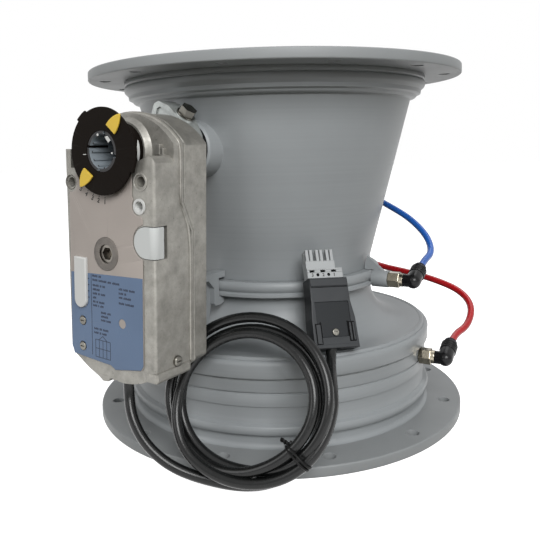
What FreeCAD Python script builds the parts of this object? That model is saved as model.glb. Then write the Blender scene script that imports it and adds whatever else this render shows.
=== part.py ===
import FreeCAD
import Part
import math
import os

# Variable air volume damper of moulded plastic for round ducts, with a rotary actuator.
# Millimetres. Z is the duct axis, upwards. The origin is the centre of the lower
# flange's face. Azimuths are seen from above, from the front (-Y), positive towards +X.
V = FreeCAD.Vector
UP = V(0, 0, 1)

# Duct connection
DUCT_BORE = 250.0
WALL = 3.0
FLANGE_OD = 320.0
FLANGE_THICKNESS = 8.0
BOLT_CIRCLE = 292.0
BOLT_COUNT = 12
LOWER_BOLT_HOLE = 9.5
UPPER_BOLT_HOLE = 9.0
LOWER_BOLT_TURN = 13.5
UPPER_BOLT_TURN = 16.2
HEIGHT = 292.0
WELD_GAP = 0.05

# Inlet casing and bellmouth nozzle
CASING_RIM_Z = 74.0
RIM_SEAT_DEPTH = 10.0
NOZZLE_BORE = 160.0
NOZZLE_WALL = 3.3
FLARE_RADIUS = 31.2
SHOULDER_Z = 75.0
NOZZLE_TOP_Z = 122.0
PORT_HOLE = 3.0
PORT_COUNT = 4

# Pressure ring round the throat
RING_LOW_Z = 110.0
RING_OUTER = 91.4
CHAMBER_DEPTH = 3.6

# Diffuser
DIFFUSER_START_Z = 130.0
CONE_TOP_Z = HEIGHT - 27.5
CONE_TOP_RADIUS = DUCT_BORE / 2 - 6.7
COLLAR_RADIUS = DUCT_BORE / 2 + WALL + 2.5
COLLAR_Z = HEIGHT - 17.0
BOSS_RADIUS = 22.0
BOSS_FACE = 122.0
FAR_BOSS_FACE = 118.0

# Shaft line, turned to the left of the front
SHAFT_AZIMUTH = 32.8
SHAFT_HEIGHT = HEIGHT - 65.2
SHAFT_RADIUS = 7.0
SHAFT_FIT = 0.05
SHAFT_END = 165.0
BUSH_RADIUS = 10.0
BUSH_SEAT_GAP = 0.9
BUSH_FLANGE_RADIUS = 20.5
BUSH_FLANGE = 2.0
END_CAP = 3.0
SEAT_DEPTH = 6.39
SEAT_HALF_HEIGHT = 4.0

# Blade, clamped round its seal
BLADE_GAP = 0.3
BLADE_PLATE = 3.2
BLADE_STEP_IN = 2.6
SEAL_THICKNESS = 1.6
HUB_RADIUS = 12.0
BLADE_SCREW_RADIUS = 2.0
BLADE_SCREW_PLACES = (-70, -42, 42, 70)
RIB_HEIGHT = 3.0

# Actuator housing: outward distances from the duct axis, then heights from the shaft
ACT_FRONT = 200.0
ACT_BACK = 148.0
DOME_FACE = ACT_FRONT - 18.0
SPLIT_UPPER = ACT_FRONT - 26.0
SPLIT_LOWER = SPLIT_UPPER - 9.5
SPLIT_JOG_TOP = -33.0
SPLIT_JOG_LOW = -52.0
ACT_HALF_WIDTH = 40.8
ACT_LEFT_TOP = 42.4
ACT_LEFT_FOOT = 39.5
ARCH_X = -1.0
ARCH_Z = -28.9
ARCH_RADIUS = 53.9
ACT_BOTTOM = -150.0
FOOT_DROP = 3.0
EAR_TOP = 0.5
EAR_INNER = -35.6
EAR_HOLES = ((28.8, -18.5), (-35.7, -21.7))
EAR_BUSH = (28.2, -34.1)
EAR_BUSH_RADIUS = 5.0
HUB_RING_FOOT = 22.5
HUB_RING_TOP = 19.8
HUB_RING_HEIGHT = 4.0
HUB_RECESS = 25.0
HOUSING_WALL = 3.0
RIDGE_OUT = 1.3
RIDGE_HALF = 2.0
ACT_TILT = 2.1
SMALL_GAP = 0.2

# Drive train
TEETH_SECTOR = 68
TEETH_IDLER_PINION = 13
TEETH_IDLER_WHEEL = 40
TEETH_MANUAL_PINION = 14
TEETH_MANUAL_WHEEL = 36
TEETH_MOTOR = 12
MODULE = 1.0
TOOTH_SHARE = 0.42
ADDENDUM = 0.85
DEDENDUM = 1.15
FLANK = 0.36
SPINDLE_RADIUS = 2.0
GEAR_FIT = 0.05

# Hub, adapter, disc and clamp on the shaft
HUB_BORE = 13.3
HUB_NECK = 14.5
HUB_HEAD = 18.0
ADAPTER_WALL = 2.0
DISC_RADIUS = 28.4
DISC_BACK = 203.6
DISC_THICKNESS = 1.8
CLAMP_BACK = 124.6
CLAMP_FRONT = 141.0
CLAMP_BOLT_RADIUS = 4.0
CLAMP_BOLT_SLANT = 48.7
CLAMP_BOLT_OFFSET = 9.0
CLAMP_HEAD_SEAT = 24.6
CLAMP_BOLT_END = 7.0
CLAMP_SEAT_RADIUS = 7.6
CLAMP_WASHER = 1.2

# Release button
BUTTON_RADIUS = 10.1
BUTTON_X = 33.6
BUTTON_Z = -56.7
BUTTON_THICKNESS = 8.0
BUTTON_TRAVEL = 3.0
BUTTON_GAP = 0.5
BUTTON_PROUD = 0.5

# Pressure taps
TAP_BOSS_RADIUS = 7.0
THROAT_TAP_AZIMUTH = 62.0
THROAT_TAP_Z = 115.0
THROAT_TAP_FACE = 105.0
INLET_TAP_AZIMUTH = 63.0
INLET_TAP_Z = 53.0
INLET_TAP_FACE = 130.4
FITTING_HEX = 12.0
FITTING_HEX_LENGTH = 9.5
FITTING_RING = 3.0
SPIGOT_RADIUS = 4.8
SPIGOT_LENGTH = 7.0
ELBOW_ARM = 8.0
ELBOW_RADIUS = 5.2
SOCKET_RADIUS = 6.2
SOCKET_LENGTH = 19.0
SOCKET_LIFT = 21.0
COLLET_RADIUS = 4.7
COLLET_DEPTH = 5.0
COLLET_OUT = 2.5
COLLET_TRAVEL = 1.5
COLLET_FIT = 0.08

# Hoses
HOSE_RADIUS = 3.0
HOSE_INSERT = 10.0
HOSE_LEAD = 21.5

# Pressure transducer behind the diffuser
SENSOR_BACK = 106.0
SENSOR_DEPTH = 30.0
SENSOR_HALF_WIDTH = 32.0
SENSOR_LOW = 98.0
SENSOR_HIGH = 200.0
SENSOR_COVER = 7.0
PORT_BLUE_Z = 186.0
PORT_RED_Z = 112.0
PORT_LENGTH = 14.0
PORT_RADIUS = 2.4
BRACKET_SHEET = 2.5

# Actuator lead, coil and plug
CABLE_RADIUS = 3.7
GROMMET_X = -1.0
GROMMET_OUT = ACT_FRONT - 17.0
GROMMET_RADIUS = 6.2
GROMMET_LOW = -154.0
COIL_X = -21.5
COIL_OUTER = 58.5
COIL_INNER = 43.0
COIL_HALF_THICKNESS = 6.5
COIL_FRONT_Y = -172.0
COIL_LEAN = 0.45
COIL_SKEW = -0.32
FLOOR_GAP = 0.3
PLUG_AZIMUTH = 18.0
PLUG_FOOT_RADIUS = 124.0
PLUG_LEAN = 25.0
PLUG_ROLL = 2.4
PLUG_WIDTH = 33.0
PLUG_DEPTH = 14.0
PLUG_LENGTH = 52.0
PLUG_MOUTH = 9.5
CONNECTOR_LENGTH = 22.0
CONNECTOR_BASE = 7.5
CONNECTOR_DEPTH = 9.0


# Values worked out from the sizes above
DUCT_RADIUS = DUCT_BORE / 2
CASING_RADIUS = DUCT_RADIUS + WALL
FLANGE_RADIUS = FLANGE_OD / 2
UPPER_FLANGE_Z = HEIGHT - FLANGE_THICKNESS
RIM_SEAT_Z = CASING_RIM_Z - RIM_SEAT_DEPTH
RIM_SEAT_RADIUS = CASING_RADIUS + 1.2
NOZZLE_RADIUS = NOZZLE_BORE / 2
THROAT_OUTER = NOZZLE_RADIUS + NOZZLE_WALL
CONE_SLOPE = (CONE_TOP_RADIUS - THROAT_OUTER) / (CONE_TOP_Z - DIFFUSER_START_Z)
SEAT_RADIUS = THROAT_OUTER + CONE_SLOPE * (SHAFT_HEIGHT - DIFFUSER_START_Z) - SEAT_DEPTH
BUSH_INNER_END = SEAT_RADIUS + BUSH_SEAT_GAP
SEAL_RADIUS = SEAT_RADIUS - BLADE_GAP
BLADE_RADIUS = SEAL_RADIUS - BLADE_STEP_IN
HUB_END = DISC_BACK
ADAPTER_RADIUS = HUB_BORE - SHAFT_FIT
ACT_INNER_BACK = ACT_BACK + HOUSING_WALL


def cone_radius(z):
    """Outer radius of the diffuser's cone at a height."""
    return THROAT_OUTER + CONE_SLOPE * (z - DIFFUSER_START_Z)


def azimuth_direction(azimuth):
    """Unit vector that points away from the duct axis at an azimuth."""
    a = math.radians(azimuth)
    return V(math.sin(a), -math.cos(a), 0)


def moved(shape, x, y, z):
    copy = shape.copy()
    copy.translate(V(x, y, z))
    return copy


def turned(shape, axis, angle, centre=V(0, 0, 0)):
    copy = shape.copy()
    copy.rotate(centre, axis, angle)
    return copy


def fused(first, *others):
    return first.fuse(list(others)).removeSplitter()


def group(*solids):
    """Several separate solids kept in one node."""
    return Part.makeCompound(list(solids))


def outline(points):
    """Closed face from points; an item of three is an arc through its middle point."""
    edges = []
    here = points[0]
    for item in list(points[1:]) + [points[0]]:
        if len(item) == 2:
            edges.append(Part.Arc(here, item[0], item[1]).toShape())
            here = item[1]
        elif item.sub(here).Length > 1e-9:
            edges.append(Part.LineSegment(here, item).toShape())
            here = item
    return Part.Face(Part.Wire(edges))


def profile(points):
    """Face in the XZ plane from (radius, height) points and (middle, end) arcs."""
    def point(p):
        return V(p[0], 0, p[1])
    items = []
    for p in points:
        if isinstance(p[0], tuple):
            items.append((point(p[0]), point(p[1])))
        else:
            items.append(point(p))
    return outline(items)


def revolved(points):
    return profile(points).revolve(V(0, 0, 0), UP, 360)


def plate_xz(points, y_low, y_high):
    """Prism of an outline in the XZ plane, between two depths."""
    face = outline([V(x, y_low, z) for x, z in points])
    return face.extrude(V(0, y_high - y_low, 0))


def barrel(radius, out_low, out_high, x=0.0, z=0.0):
    """Cylinder along the shaft line, between two outward distances."""
    return Part.makeCylinder(radius, out_high - out_low, V(x, -out_high, z), V(0, 1, 0))


def block(x_low, x_high, out_low, out_high, z_low, z_high):
    return Part.makeBox(x_high - x_low, out_high - out_low, z_high - z_low, V(x_low, -out_high, z_low))


def on_shaft_line(shape):
    """From the shaft's own frame (outwards is -Y, heights from the shaft) to the part's."""
    return turned(moved(shape, 0, 0, SHAFT_HEIGHT), UP, -SHAFT_AZIMUTH)


def on_actuator(shape):
    """The actuator hangs a little out of plumb on the shaft."""
    return on_shaft_line(turned(shape, V(0, 1, 0), ACT_TILT))


def edges_along(shape, direction, keep=None):
    """Straight edges parallel to a direction, filtered by their middle point."""
    found = []
    for edge in shape.Edges:
        if edge.Curve.TypeId != "Part::GeomLine":
            continue
        along = edge.Vertexes[-1].Point.sub(edge.Vertexes[0].Point)
        if along.Length < 1e-6 or along.cross(direction).Length > 1e-6 * along.Length:
            continue
        if keep is None or keep(edge.CenterOfMass):
            found.append(edge)
    return found


# Casing

def flange(z_low, bolt_turn, hole):
    """Flat flange ring with its circle of bolt holes and eased edges."""
    ease = 0.8
    bore = CASING_RADIUS + WELD_GAP
    z_high = z_low + FLANGE_THICKNESS
    ring = revolved([
        (bore, z_low), (FLANGE_RADIUS - ease, z_low), (FLANGE_RADIUS, z_low + ease),
        (FLANGE_RADIUS, z_high - ease), (FLANGE_RADIUS - ease, z_high), (bore, z_high)])
    holes = []
    for index in range(BOLT_COUNT):
        centre = azimuth_direction(bolt_turn + index * 360.0 / BOLT_COUNT).multiply(BOLT_CIRCLE / 2)
        holes.append(Part.makeCylinder(hole / 2, FLANGE_THICKNESS, V(centre.x, centre.y, z_low)))
    return ring.cut(holes)


def inlet_casing():
    """Duct spigot with its weld foot, bead, stepped bands and thick rim."""
    r = CASING_RADIUS
    top = CASING_RIM_Z
    return revolved([
        (r, 0), (r, FLANGE_THICKNESS), (r + 4, FLANGE_THICKNESS),
        ((r + 1.9, FLANGE_THICKNESS + 1.2), (r + 1, FLANGE_THICKNESS + 4)),
        (r + 1, 17.5), (r + 3.9, 18.4), ((r + 4.7, 21.5), (r + 3.9, 24.6)), (r + 0.4, 25.6),
        (r + 0.4, 38.2), (r + 1.4, 38.7), (r + 1.4, 47.6), (r + 0.4, 48), (r + 0.4, 49.3),
        (r + 2, 49.8), (r + 2, 59), ((r + 3.3, 59.7), (r + 4.3, 61.2)), (r + 4.6, top - 4.5),
        ((r + 4.0, top - 1.7), (r + 2.4, top - 0.5)), (RIM_SEAT_RADIUS, top - 0.5),
        (RIM_SEAT_RADIUS, RIM_SEAT_Z), (DUCT_RADIUS, RIM_SEAT_Z), (DUCT_RADIUS, 0)])


def inlet_nozzle():
    """Bellmouth that drops into the casing's rim and narrows to the throat."""
    rim = RIM_SEAT_RADIUS - WELD_GAP
    flare_r = THROAT_OUTER + FLARE_RADIUS
    flare_z = SHOULDER_Z + FLARE_RADIUS
    inner = FLARE_RADIUS + NOZZLE_WALL
    half = math.sqrt(0.5)
    body = revolved([
        (DUCT_RADIUS, RIM_SEAT_Z + WELD_GAP), (rim, RIM_SEAT_Z + WELD_GAP), (rim, CASING_RIM_Z),
        (rim - 0.8, SHOULDER_Z + 0.6), (rim - 3.0, SHOULDER_Z + 0.6), (rim - 3.6, SHOULDER_Z),
        (flare_r, SHOULDER_Z),
        ((flare_r - FLARE_RADIUS * half, flare_z - FLARE_RADIUS * half), (THROAT_OUTER, flare_z)),
        (THROAT_OUTER, NOZZLE_TOP_Z), (NOZZLE_RADIUS, NOZZLE_TOP_Z), (NOZZLE_RADIUS, flare_z),
        ((flare_r - inner * half, flare_z - inner * half), (flare_r, flare_z - inner)),
        (DUCT_RADIUS, flare_z - inner)])
    ports = []
    for index in range(PORT_COUNT):
        way = azimuth_direction(THROAT_TAP_AZIMUTH + 45 + index * 360.0 / PORT_COUNT)
        start = V(way).multiply(NOZZLE_RADIUS - 1)
        start.z = chamber_z()
        ports.append(Part.makeCylinder(PORT_HOLE / 2, NOZZLE_WALL + 2, start, way))
    return body.cut(ports)


def chamber_z():
    """Middle height of the pressure ring's chamber."""
    return (RING_LOW_Z + NOZZLE_TOP_Z) / 2 + 0.8


def pressure_ring():
    """Ring with a lip and a round bead; its inner groove averages the throat pressure."""
    inner = THROAT_OUTER + WELD_GAP
    outer = RING_OUTER
    top = NOZZLE_TOP_Z - WELD_GAP
    low = RING_LOW_Z
    chamber = inner + CHAMBER_DEPTH
    ring = revolved([
        (inner, low), (outer - 0.4, low), (outer, low + 0.4), (outer, low + 2.6),
        (outer - 1.6, low + 3), (outer - 1.6, low + 3.8),
        ((outer, (low + 3.8 + top) / 2), (outer - 1.8, top)),
        (inner, top), (inner, top - 2), (chamber, top - 2), (chamber, low + 3.5), (inner, low + 3.5)])
    return ring.cut(tap_hole(THROAT_TAP_AZIMUTH, THROAT_TAP_Z, THROAT_OUTER + 1, outer))


def tap_hole(azimuth, z, r_low, r_high):
    """Small way through a wall to a tap."""
    way = azimuth_direction(azimuth)
    start = V(way).multiply(r_low)
    start.z = z
    return Part.makeCylinder(PORT_HOLE / 2, r_high - r_low + 1, start, way)


def diffuser_casing():
    """Cone with a stepped collar, two shaft bosses and the seat that the blade closes on."""
    start = NOZZLE_TOP_Z + WELD_GAP
    inner_low = DIFFUSER_START_Z - 4
    inner_top = CONE_TOP_RADIUS - NOZZLE_WALL
    collar = COLLAR_RADIUS
    shell = revolved([
        (THROAT_OUTER, start), (THROAT_OUTER, DIFFUSER_START_Z), (CONE_TOP_RADIUS, CONE_TOP_Z),
        (CONE_TOP_RADIUS + 1.4, CONE_TOP_Z + 0.6), ((CONE_TOP_RADIUS + 4.2, CONE_TOP_Z + 1.4),
                                                   (collar - 6.5, CONE_TOP_Z + 3.5)),
        (collar - 3.6, CONE_TOP_Z + 4.5), (collar - 3.2, COLLAR_Z - 3), (collar - 0.6, COLLAR_Z - 0.4),
        (collar, COLLAR_Z + 0.6), (collar, COLLAR_Z + 4.2), (collar - 0.7, COLLAR_Z + 4.6),
        (collar - 0.7, COLLAR_Z + 5.4), (collar, COLLAR_Z + 5.8), (collar, UPPER_FLANGE_Z),
        (CASING_RADIUS, UPPER_FLANGE_Z), (CASING_RADIUS, HEIGHT), (DUCT_RADIUS, HEIGHT),
        (DUCT_RADIUS, COLLAR_Z - 1), (collar - 8.5, CONE_TOP_Z + 4.2), (inner_top + 0.2, CONE_TOP_Z),
        (NOZZLE_RADIUS, inner_low), (NOZZLE_RADIUS, start)])
    cavity = revolved([
        (0, inner_low), (NOZZLE_RADIUS + 1, inner_low), (inner_top + 1.2, CONE_TOP_Z), (0, CONE_TOP_Z)])
    near = barrel(BOSS_RADIUS, 80, BOSS_FACE - 1.5)
    near_face = Part.makeCone(BOSS_RADIUS, BOSS_RADIUS - 1.5, 1.5, V(0, -(BOSS_FACE - 1.5), 0), V(0, -1, 0))
    far = barrel(BOSS_RADIUS, -FAR_BOSS_FACE, -80)
    bosses = on_shaft_line(fused(near, near_face, far)).cut(cavity)
    seat = revolved([
        (SEAT_RADIUS, SHAFT_HEIGHT - SEAT_HALF_HEIGHT), (SEAT_RADIUS, SHAFT_HEIGHT + SEAT_HALF_HEIGHT),
        (cone_radius(SHAFT_HEIGHT + 6) - 1.5, SHAFT_HEIGHT + 6),
        (cone_radius(SHAFT_HEIGHT - 7) - 1.5, SHAFT_HEIGHT - 7)])
    bore = on_shaft_line(barrel(BUSH_RADIUS, -FAR_BOSS_FACE - 1, BOSS_FACE + 1))
    return fused(shell, bosses, seat).cut(bore)


def drive_bearing_bush():
    """Flanged plain bearing in the near boss."""
    fit = SHAFT_RADIUS + SHAFT_FIT
    outer = BUSH_RADIUS - SHAFT_FIT
    bush = fused(barrel(outer, BUSH_INNER_END, BOSS_FACE),
                 barrel(BUSH_FLANGE_RADIUS, BOSS_FACE, BOSS_FACE + BUSH_FLANGE))
    return on_shaft_line(bush.cut(barrel(fit, BUSH_INNER_END - 1, BOSS_FACE + BUSH_FLANGE + 1)))


def far_bearing_bush():
    bush = barrel(BUSH_RADIUS - SHAFT_FIT, -FAR_BOSS_FACE, -BUSH_INNER_END)
    return on_shaft_line(bush.cut(barrel(SHAFT_RADIUS + SHAFT_FIT, -FAR_BOSS_FACE - 1, -BUSH_INNER_END + 1)))


def far_end_cap():
    """Cap that closes the far boss, with a dished outer face."""
    face = FAR_BOSS_FACE + WELD_GAP
    cap = barrel(BOSS_RADIUS - 2, -face - END_CAP, -face)
    rim = edges_at(cap, lambda p: p.y > face + END_CAP - 0.01)
    cap = cap.makeFillet(1.0, rim)
    dish = barrel(BOSS_RADIUS - 7, -face - END_CAP, -face - END_CAP + 0.8)
    return on_shaft_line(cap.cut(dish))


def edges_at(shape, keep):
    """Circular edges whose centre passes a test."""
    return [e for e in shape.Edges if e.Curve.TypeId == "Part::GeomCircle" and keep(e.Curve.Center)]


def support_bracket():
    """Bracket clipped round the pressure ring; its plate keeps the actuator from turning."""
    face = ACT_BACK - SMALL_GAP
    top = DIFFUSER_START_Z - 1.7
    under = NOZZLE_TOP_Z + 2.3
    hold = RING_OUTER + 0.8
    low = RING_LOW_Z - 7
    clip = [(THROAT_OUTER + 0.7, under), (hold, under), (hold, RING_LOW_Z - 0.5),
            (THROAT_OUTER + 2.5, RING_LOW_Z - 0.5), (THROAT_OUTER + 2.5, low + 1.5), (hold - 1.5, low),
            (hold + 4.5, low), (hold + 6, low + 2), (hold + 6, under - 7), (hold + 13, under),
            (face, under), (face, top + 1), (THROAT_OUTER + 0.7, top + 1)]
    web = [(hold + 5, low), (hold + 8.5, 84), (108, 78), (114, SHOULDER_Z + 0.6), (124, SHOULDER_Z + 0.6),
           (face - 4, 108), (face - 4, under + 1), (hold + 5, under + 1)]

    def upright(points, x_low, x_high):
        face_yz = outline([V(x_low, -s, z) for s, z in points])
        return face_yz.extrude(V(x_high - x_low, 0, 0))
    plate = Part.makeBox(24, 4, 44, V(-12, -face, 104))
    body = fused(upright(clip, -4, 4), upright(web, -4, -1), plate)
    return turned(body, UP, -SHAFT_AZIMUTH)


# Blade and shaft

def blade_shaft():
    bar = barrel(SHAFT_RADIUS, -FAR_BOSS_FACE + 2, SHAFT_END)
    flat = block(-SHAFT_RADIUS, SHAFT_RADIUS, CLAMP_BACK, SHAFT_END + 1, SHAFT_RADIUS - 0.8, SHAFT_RADIUS)
    return on_shaft_line(bar.cut(flat))


def blade_plate(side):
    """Half of the blade: a ribbed disc with a half hub round the shaft (side 1 or -1)."""
    low = SEAL_THICKNESS / 2
    disc = Part.makeCylinder(BLADE_RADIUS, BLADE_PLATE, V(0, 0, low))
    disc = disc.makeFillet(1.2, edges_at(disc, lambda p: p.z > low + BLADE_PLATE - 0.01))
    hub_half = BLADE_RADIUS - 4
    hub = barrel(HUB_RADIUS, -hub_half, hub_half)
    rib_top = low + BLADE_PLATE + RIB_HEIGHT
    ribs = []
    for x in (-52, -26, 26, 52):
        reach = math.sqrt((BLADE_RADIUS - 8) ** 2 - x ** 2)
        ribs.append(block(x - 1.5, x + 1.5, -reach, reach, low, rib_top))
    half = fused(disc, hub, *ribs)
    half = half.cut(Part.makeBox(260, 260, 60, V(-130, -130, low - 60)))
    half = half.cut(barrel(SHAFT_RADIUS + WELD_GAP, -BLADE_RADIUS - 1, BLADE_RADIUS + 1))
    for y in BLADE_SCREW_PLACES:
        half = half.cut(Part.makeCylinder(BLADE_SCREW_RADIUS + 0.1, 40, V(16, y, -20)))
        half = half.cut(Part.makeCylinder(BLADE_SCREW_RADIUS + 0.1, 40, V(-16, y, -20)))
    if side < 0:
        half = turned(half, V(0, 1, 0), 180)
    return on_shaft_line(half)


def blade_seal():
    """Flat lip seal that runs right round between the two plates."""
    ring = Part.makeCylinder(SEAL_RADIUS, SEAL_THICKNESS, V(0, 0, -SEAL_THICKNESS / 2))
    ring = ring.cut(Part.makeCylinder(BLADE_RADIUS - 6, SEAL_THICKNESS, V(0, 0, -SEAL_THICKNESS / 2)))
    hub_gap = HUB_RADIUS + 0.5
    ring = ring.cut(block(-hub_gap, hub_gap, -BLADE_RADIUS + 4, BLADE_RADIUS - 4, -2, 2))
    ring = ring.cut(barrel(SHAFT_RADIUS + WELD_GAP, -SEAL_RADIUS - 1, SEAL_RADIUS + 1))
    return on_shaft_line(ring)


def blade_screws():
    """Through screws that hold the two plates together, with a head on each side."""
    reach = SEAL_THICKNESS / 2 + BLADE_PLATE
    screws = []
    for y in BLADE_SCREW_PLACES:
        for x in (-16, 16):
            shank = Part.makeCylinder(BLADE_SCREW_RADIUS, 2 * reach, V(x, y, -reach))
            head = Part.makeCylinder(4, 2, V(x, y, reach))
            nut = Part.makeCylinder(4, 2, V(x, y, -reach - 2))
            screws.append(fused(shank, head, nut))
    return on_shaft_line(group(*screws))


# Actuator

def convex_offset(points, distance):
    """Convex outline moved inwards (positive) or outwards (negative), corner by corner."""
    moved_points = []
    count = len(points)
    for i in range(count):
        before, here, after = points[i - 1], points[i], points[(i + 1) % count]
        first = (here[0] - before[0], here[1] - before[1])
        second = (after[0] - here[0], after[1] - here[1])
        n1 = unit_normal(first)
        n2 = unit_normal(second)
        scale = distance / (1 + n1[0] * n2[0] + n1[1] * n2[1])
        moved_points.append((here[0] + (n1[0] + n2[0]) * scale, here[1] + (n1[1] + n2[1]) * scale))
    return moved_points


def unit_normal(along):
    """Normal on the right-hand side of a direction, which is inside a clockwise outline."""
    length = math.hypot(along[0], along[1])
    return (along[1] / length, -along[0] / length)


def housing_slab(out_low, out_high, inset=0.0):
    """Front view of the housing as a slab: arched top, nearly upright sides, tapered foot."""
    w = ACT_HALF_WIDTH
    left = ACT_LEFT_FOOT
    high = ARCH_Z + ARCH_RADIUS + 30
    points = [
        (-ACT_LEFT_TOP, high), (w, high), (w, ACT_BOTTOM + 9), (w - 7, ACT_BOTTOM + 4), (12, ACT_BOTTOM - 1),
        (-8, ACT_BOTTOM - FOOT_DROP), (-28.7, ACT_BOTTOM + 2.5), (-left, ACT_BOTTOM + 13)]
    sides = plate_xz(convex_offset(points, inset), -out_high, -out_low)
    arch = barrel(ARCH_RADIUS - inset, out_low, out_high, ARCH_X, ARCH_Z)
    lower = block(-2 * w, 2 * w, out_low, out_high, ACT_BOTTOM - 20, ARCH_Z)
    return sides.common(arch.fuse(lower))


def split_band(out_shift_low, out_shift_high):
    """Space between two copies of the stepped parting surface of the housing."""
    reach = ACT_HALF_WIDTH + 10
    high = ARCH_Z + ARCH_RADIUS + 10
    low = ACT_BOTTOM - 20

    def line(shift):
        return [(SPLIT_UPPER + shift, high), (SPLIT_UPPER + shift, SPLIT_JOG_TOP),
                (SPLIT_LOWER + shift, SPLIT_JOG_LOW), (SPLIT_LOWER + shift, low)]
    points = line(out_shift_low) + line(out_shift_high)[::-1]
    face = outline([V(-reach, -s, z) for s, z in points])
    return face.extrude(V(2 * reach, 0, 0))


def rounded_prism(points, out_low, out_high, radius):
    prism = plate_xz(points, -out_high, -out_low)
    return prism.makeFillet(radius, edges_along(prism, V(0, 1, 0)))


def housing_shell(out_low, out_high, inset=0.0):
    slab = housing_slab(out_low, out_high, inset)
    return slab.makeFillet(3.0, edges_along(slab, V(0, 1, 0)))


def housing_ridge(shift_low, shift_high, height):
    """Raised lip along the parting surface."""
    slab = housing_shell(SPLIT_LOWER - 6, SPLIT_UPPER + 6, -height)
    return slab.common(split_band(shift_low, shift_high))


def button_block(gap, right, out_low, out_high):
    """D shape of the release button, open towards the right-hand side."""
    r = BUTTON_RADIUS + gap
    points = [V(BUTTON_X, -out_high, BUTTON_Z + r), V(right, -out_high, BUTTON_Z + r),
              V(right, -out_high, BUTTON_Z - r), V(BUTTON_X, -out_high, BUTTON_Z - r),
              (V(BUTTON_X - r, -out_high, BUTTON_Z), V(BUTTON_X, -out_high, BUTTON_Z + r))]
    return outline(points).extrude(V(0, out_high - out_low, 0))


def front_housing():
    """Front half of the die-cast housing, with the low dome face round the hub."""
    dome = housing_shell(SPLIT_LOWER - 8, DOME_FACE)
    raised = housing_shell(DOME_FACE - 2, ACT_FRONT)
    raised = raised.cut(ear_room())
    corners = [e for e in raised.Edges if abs(e.CenterOfMass.y + ACT_FRONT) < 0.01 and e.Length > 60]
    raised = raised.makeFillet(2.0, corners)
    foot = plate_yz([(ACT_FRONT + 1, ACT_BOTTOM + 8), (ACT_FRONT + 1, ACT_BOTTOM - 1),
                     (ACT_FRONT - 10, ACT_BOTTOM - 1)], -60, 60)
    raised = raised.cut(foot)
    raised = raised.cut(barrel(HUB_RECESS, DOME_FACE, ACT_FRONT + 1))
    ring = Part.makeCone(HUB_RING_FOOT, HUB_RING_TOP, HUB_RING_HEIGHT, V(0, -DOME_FACE, 0), V(0, -1, 0))
    body = fused(dome, raised, ring)
    inner = housing_slab(SPLIT_LOWER - 9, DOME_FACE - HOUSING_WALL, HOUSING_WALL)
    chest = housing_slab(DOME_FACE - HOUSING_WALL - 1, ACT_FRONT - HOUSING_WALL, HOUSING_WALL)
    chest = chest.cut(block(-60, 60, 0, 300, -(HUB_RECESS + HOUSING_WALL), 60))
    inner = inner.fuse(chest)
    pocket_wall = BUTTON_RADIUS + HOUSING_WALL
    pocket_floor = ACT_FRONT - BUTTON_THICKNESS - BUTTON_TRAVEL - BUTTON_GAP
    inner = inner.cut(block(BUTTON_X - pocket_wall, 60, pocket_floor - HOUSING_WALL, ACT_FRONT + 1,
                            BUTTON_Z - pocket_wall, BUTTON_Z + pocket_wall))
    body = body.cut(inner)
    body = body.cut(split_band(-60, 0))
    lip = housing_ridge(0, RIDGE_HALF, RIDGE_OUT).cut(
        housing_slab(SPLIT_LOWER - 12, SPLIT_UPPER + 12, HOUSING_WALL))
    body = fused(body, lip)
    body = body.cut(barrel(HUB_NECK + 0.4, SPLIT_LOWER, DOME_FACE + 1))
    body = body.cut(barrel(HUB_HEAD + 0.4, DOME_FACE, ACT_FRONT + 1))
    body = body.cut(button_block(BUTTON_GAP, ACT_HALF_WIDTH + 1, pocket_floor, ACT_FRONT + 1))
    socket = MANUAL_PLACE
    body = body.cut(barrel(8.2, ACT_FRONT - HOUSING_WALL - 1, ACT_FRONT + 1, socket[0], socket[1]))
    for x, z in EAR_HOLES:
        body = body.cut(barrel(3.4, ACT_FRONT - 12, ACT_FRONT + 1, x, z))
        body = body.cut(barrel(4.6, ACT_FRONT - 0.8, ACT_FRONT + 1, x, z))
    body = body.cut(barrel(EAR_BUSH_RADIUS + 0.05, ACT_FRONT - 10, ACT_FRONT + 1, EAR_BUSH[0], EAR_BUSH[1]))
    for x, z in FRONT_SCREWS:
        body = body.cut(barrel(SCREW_SHANK + GEAR_FIT, ACT_FRONT - HOUSING_WALL - 1, ACT_FRONT + 1, x, z))
    side_hole = Part.makeCylinder(SIDE_SHANK + GEAR_FIT, HOUSING_WALL + 2,
                                  V(ACT_HALF_WIDTH - HOUSING_WALL - 1, -SIDE_SCREW[0], SIDE_SCREW[1]), V(1, 0, 0))
    body = body.cut(side_hole)
    grommet = Part.makeCylinder(GROMMET_RADIUS + 0.05, 20, V(GROMMET_X, -GROMMET_OUT, ACT_BOTTOM - 4))
    body = body.cut(grommet)
    return on_actuator(body)


def ear_room():
    """Space above the two ears and the raised face, open towards the hub."""
    points = [(EAR_INNER, 60), (EAR_INNER, -12), (23, -12), (23.8, -8.1), (25.6, -6.2), (30.8, -4.1),
              (36.7, -2.1), (39.6, -3.9), (41.5, -8), (60, -8), (60, 60)]
    right = plate_xz(points, -(ACT_FRONT + 1), -DOME_FACE)
    left = block(-60, EAR_INNER + 1, DOME_FACE, ACT_FRONT + 1, EAR_TOP, 60)
    return right.fuse(left)


def plate_yz(points, x_low, x_high):
    """Prism of an outline of (outward, height) points, between two widths."""
    face = outline([V(x_low, -s, z) for s, z in points])
    return face.extrude(V(x_high - x_low, 0, 0))


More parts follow.
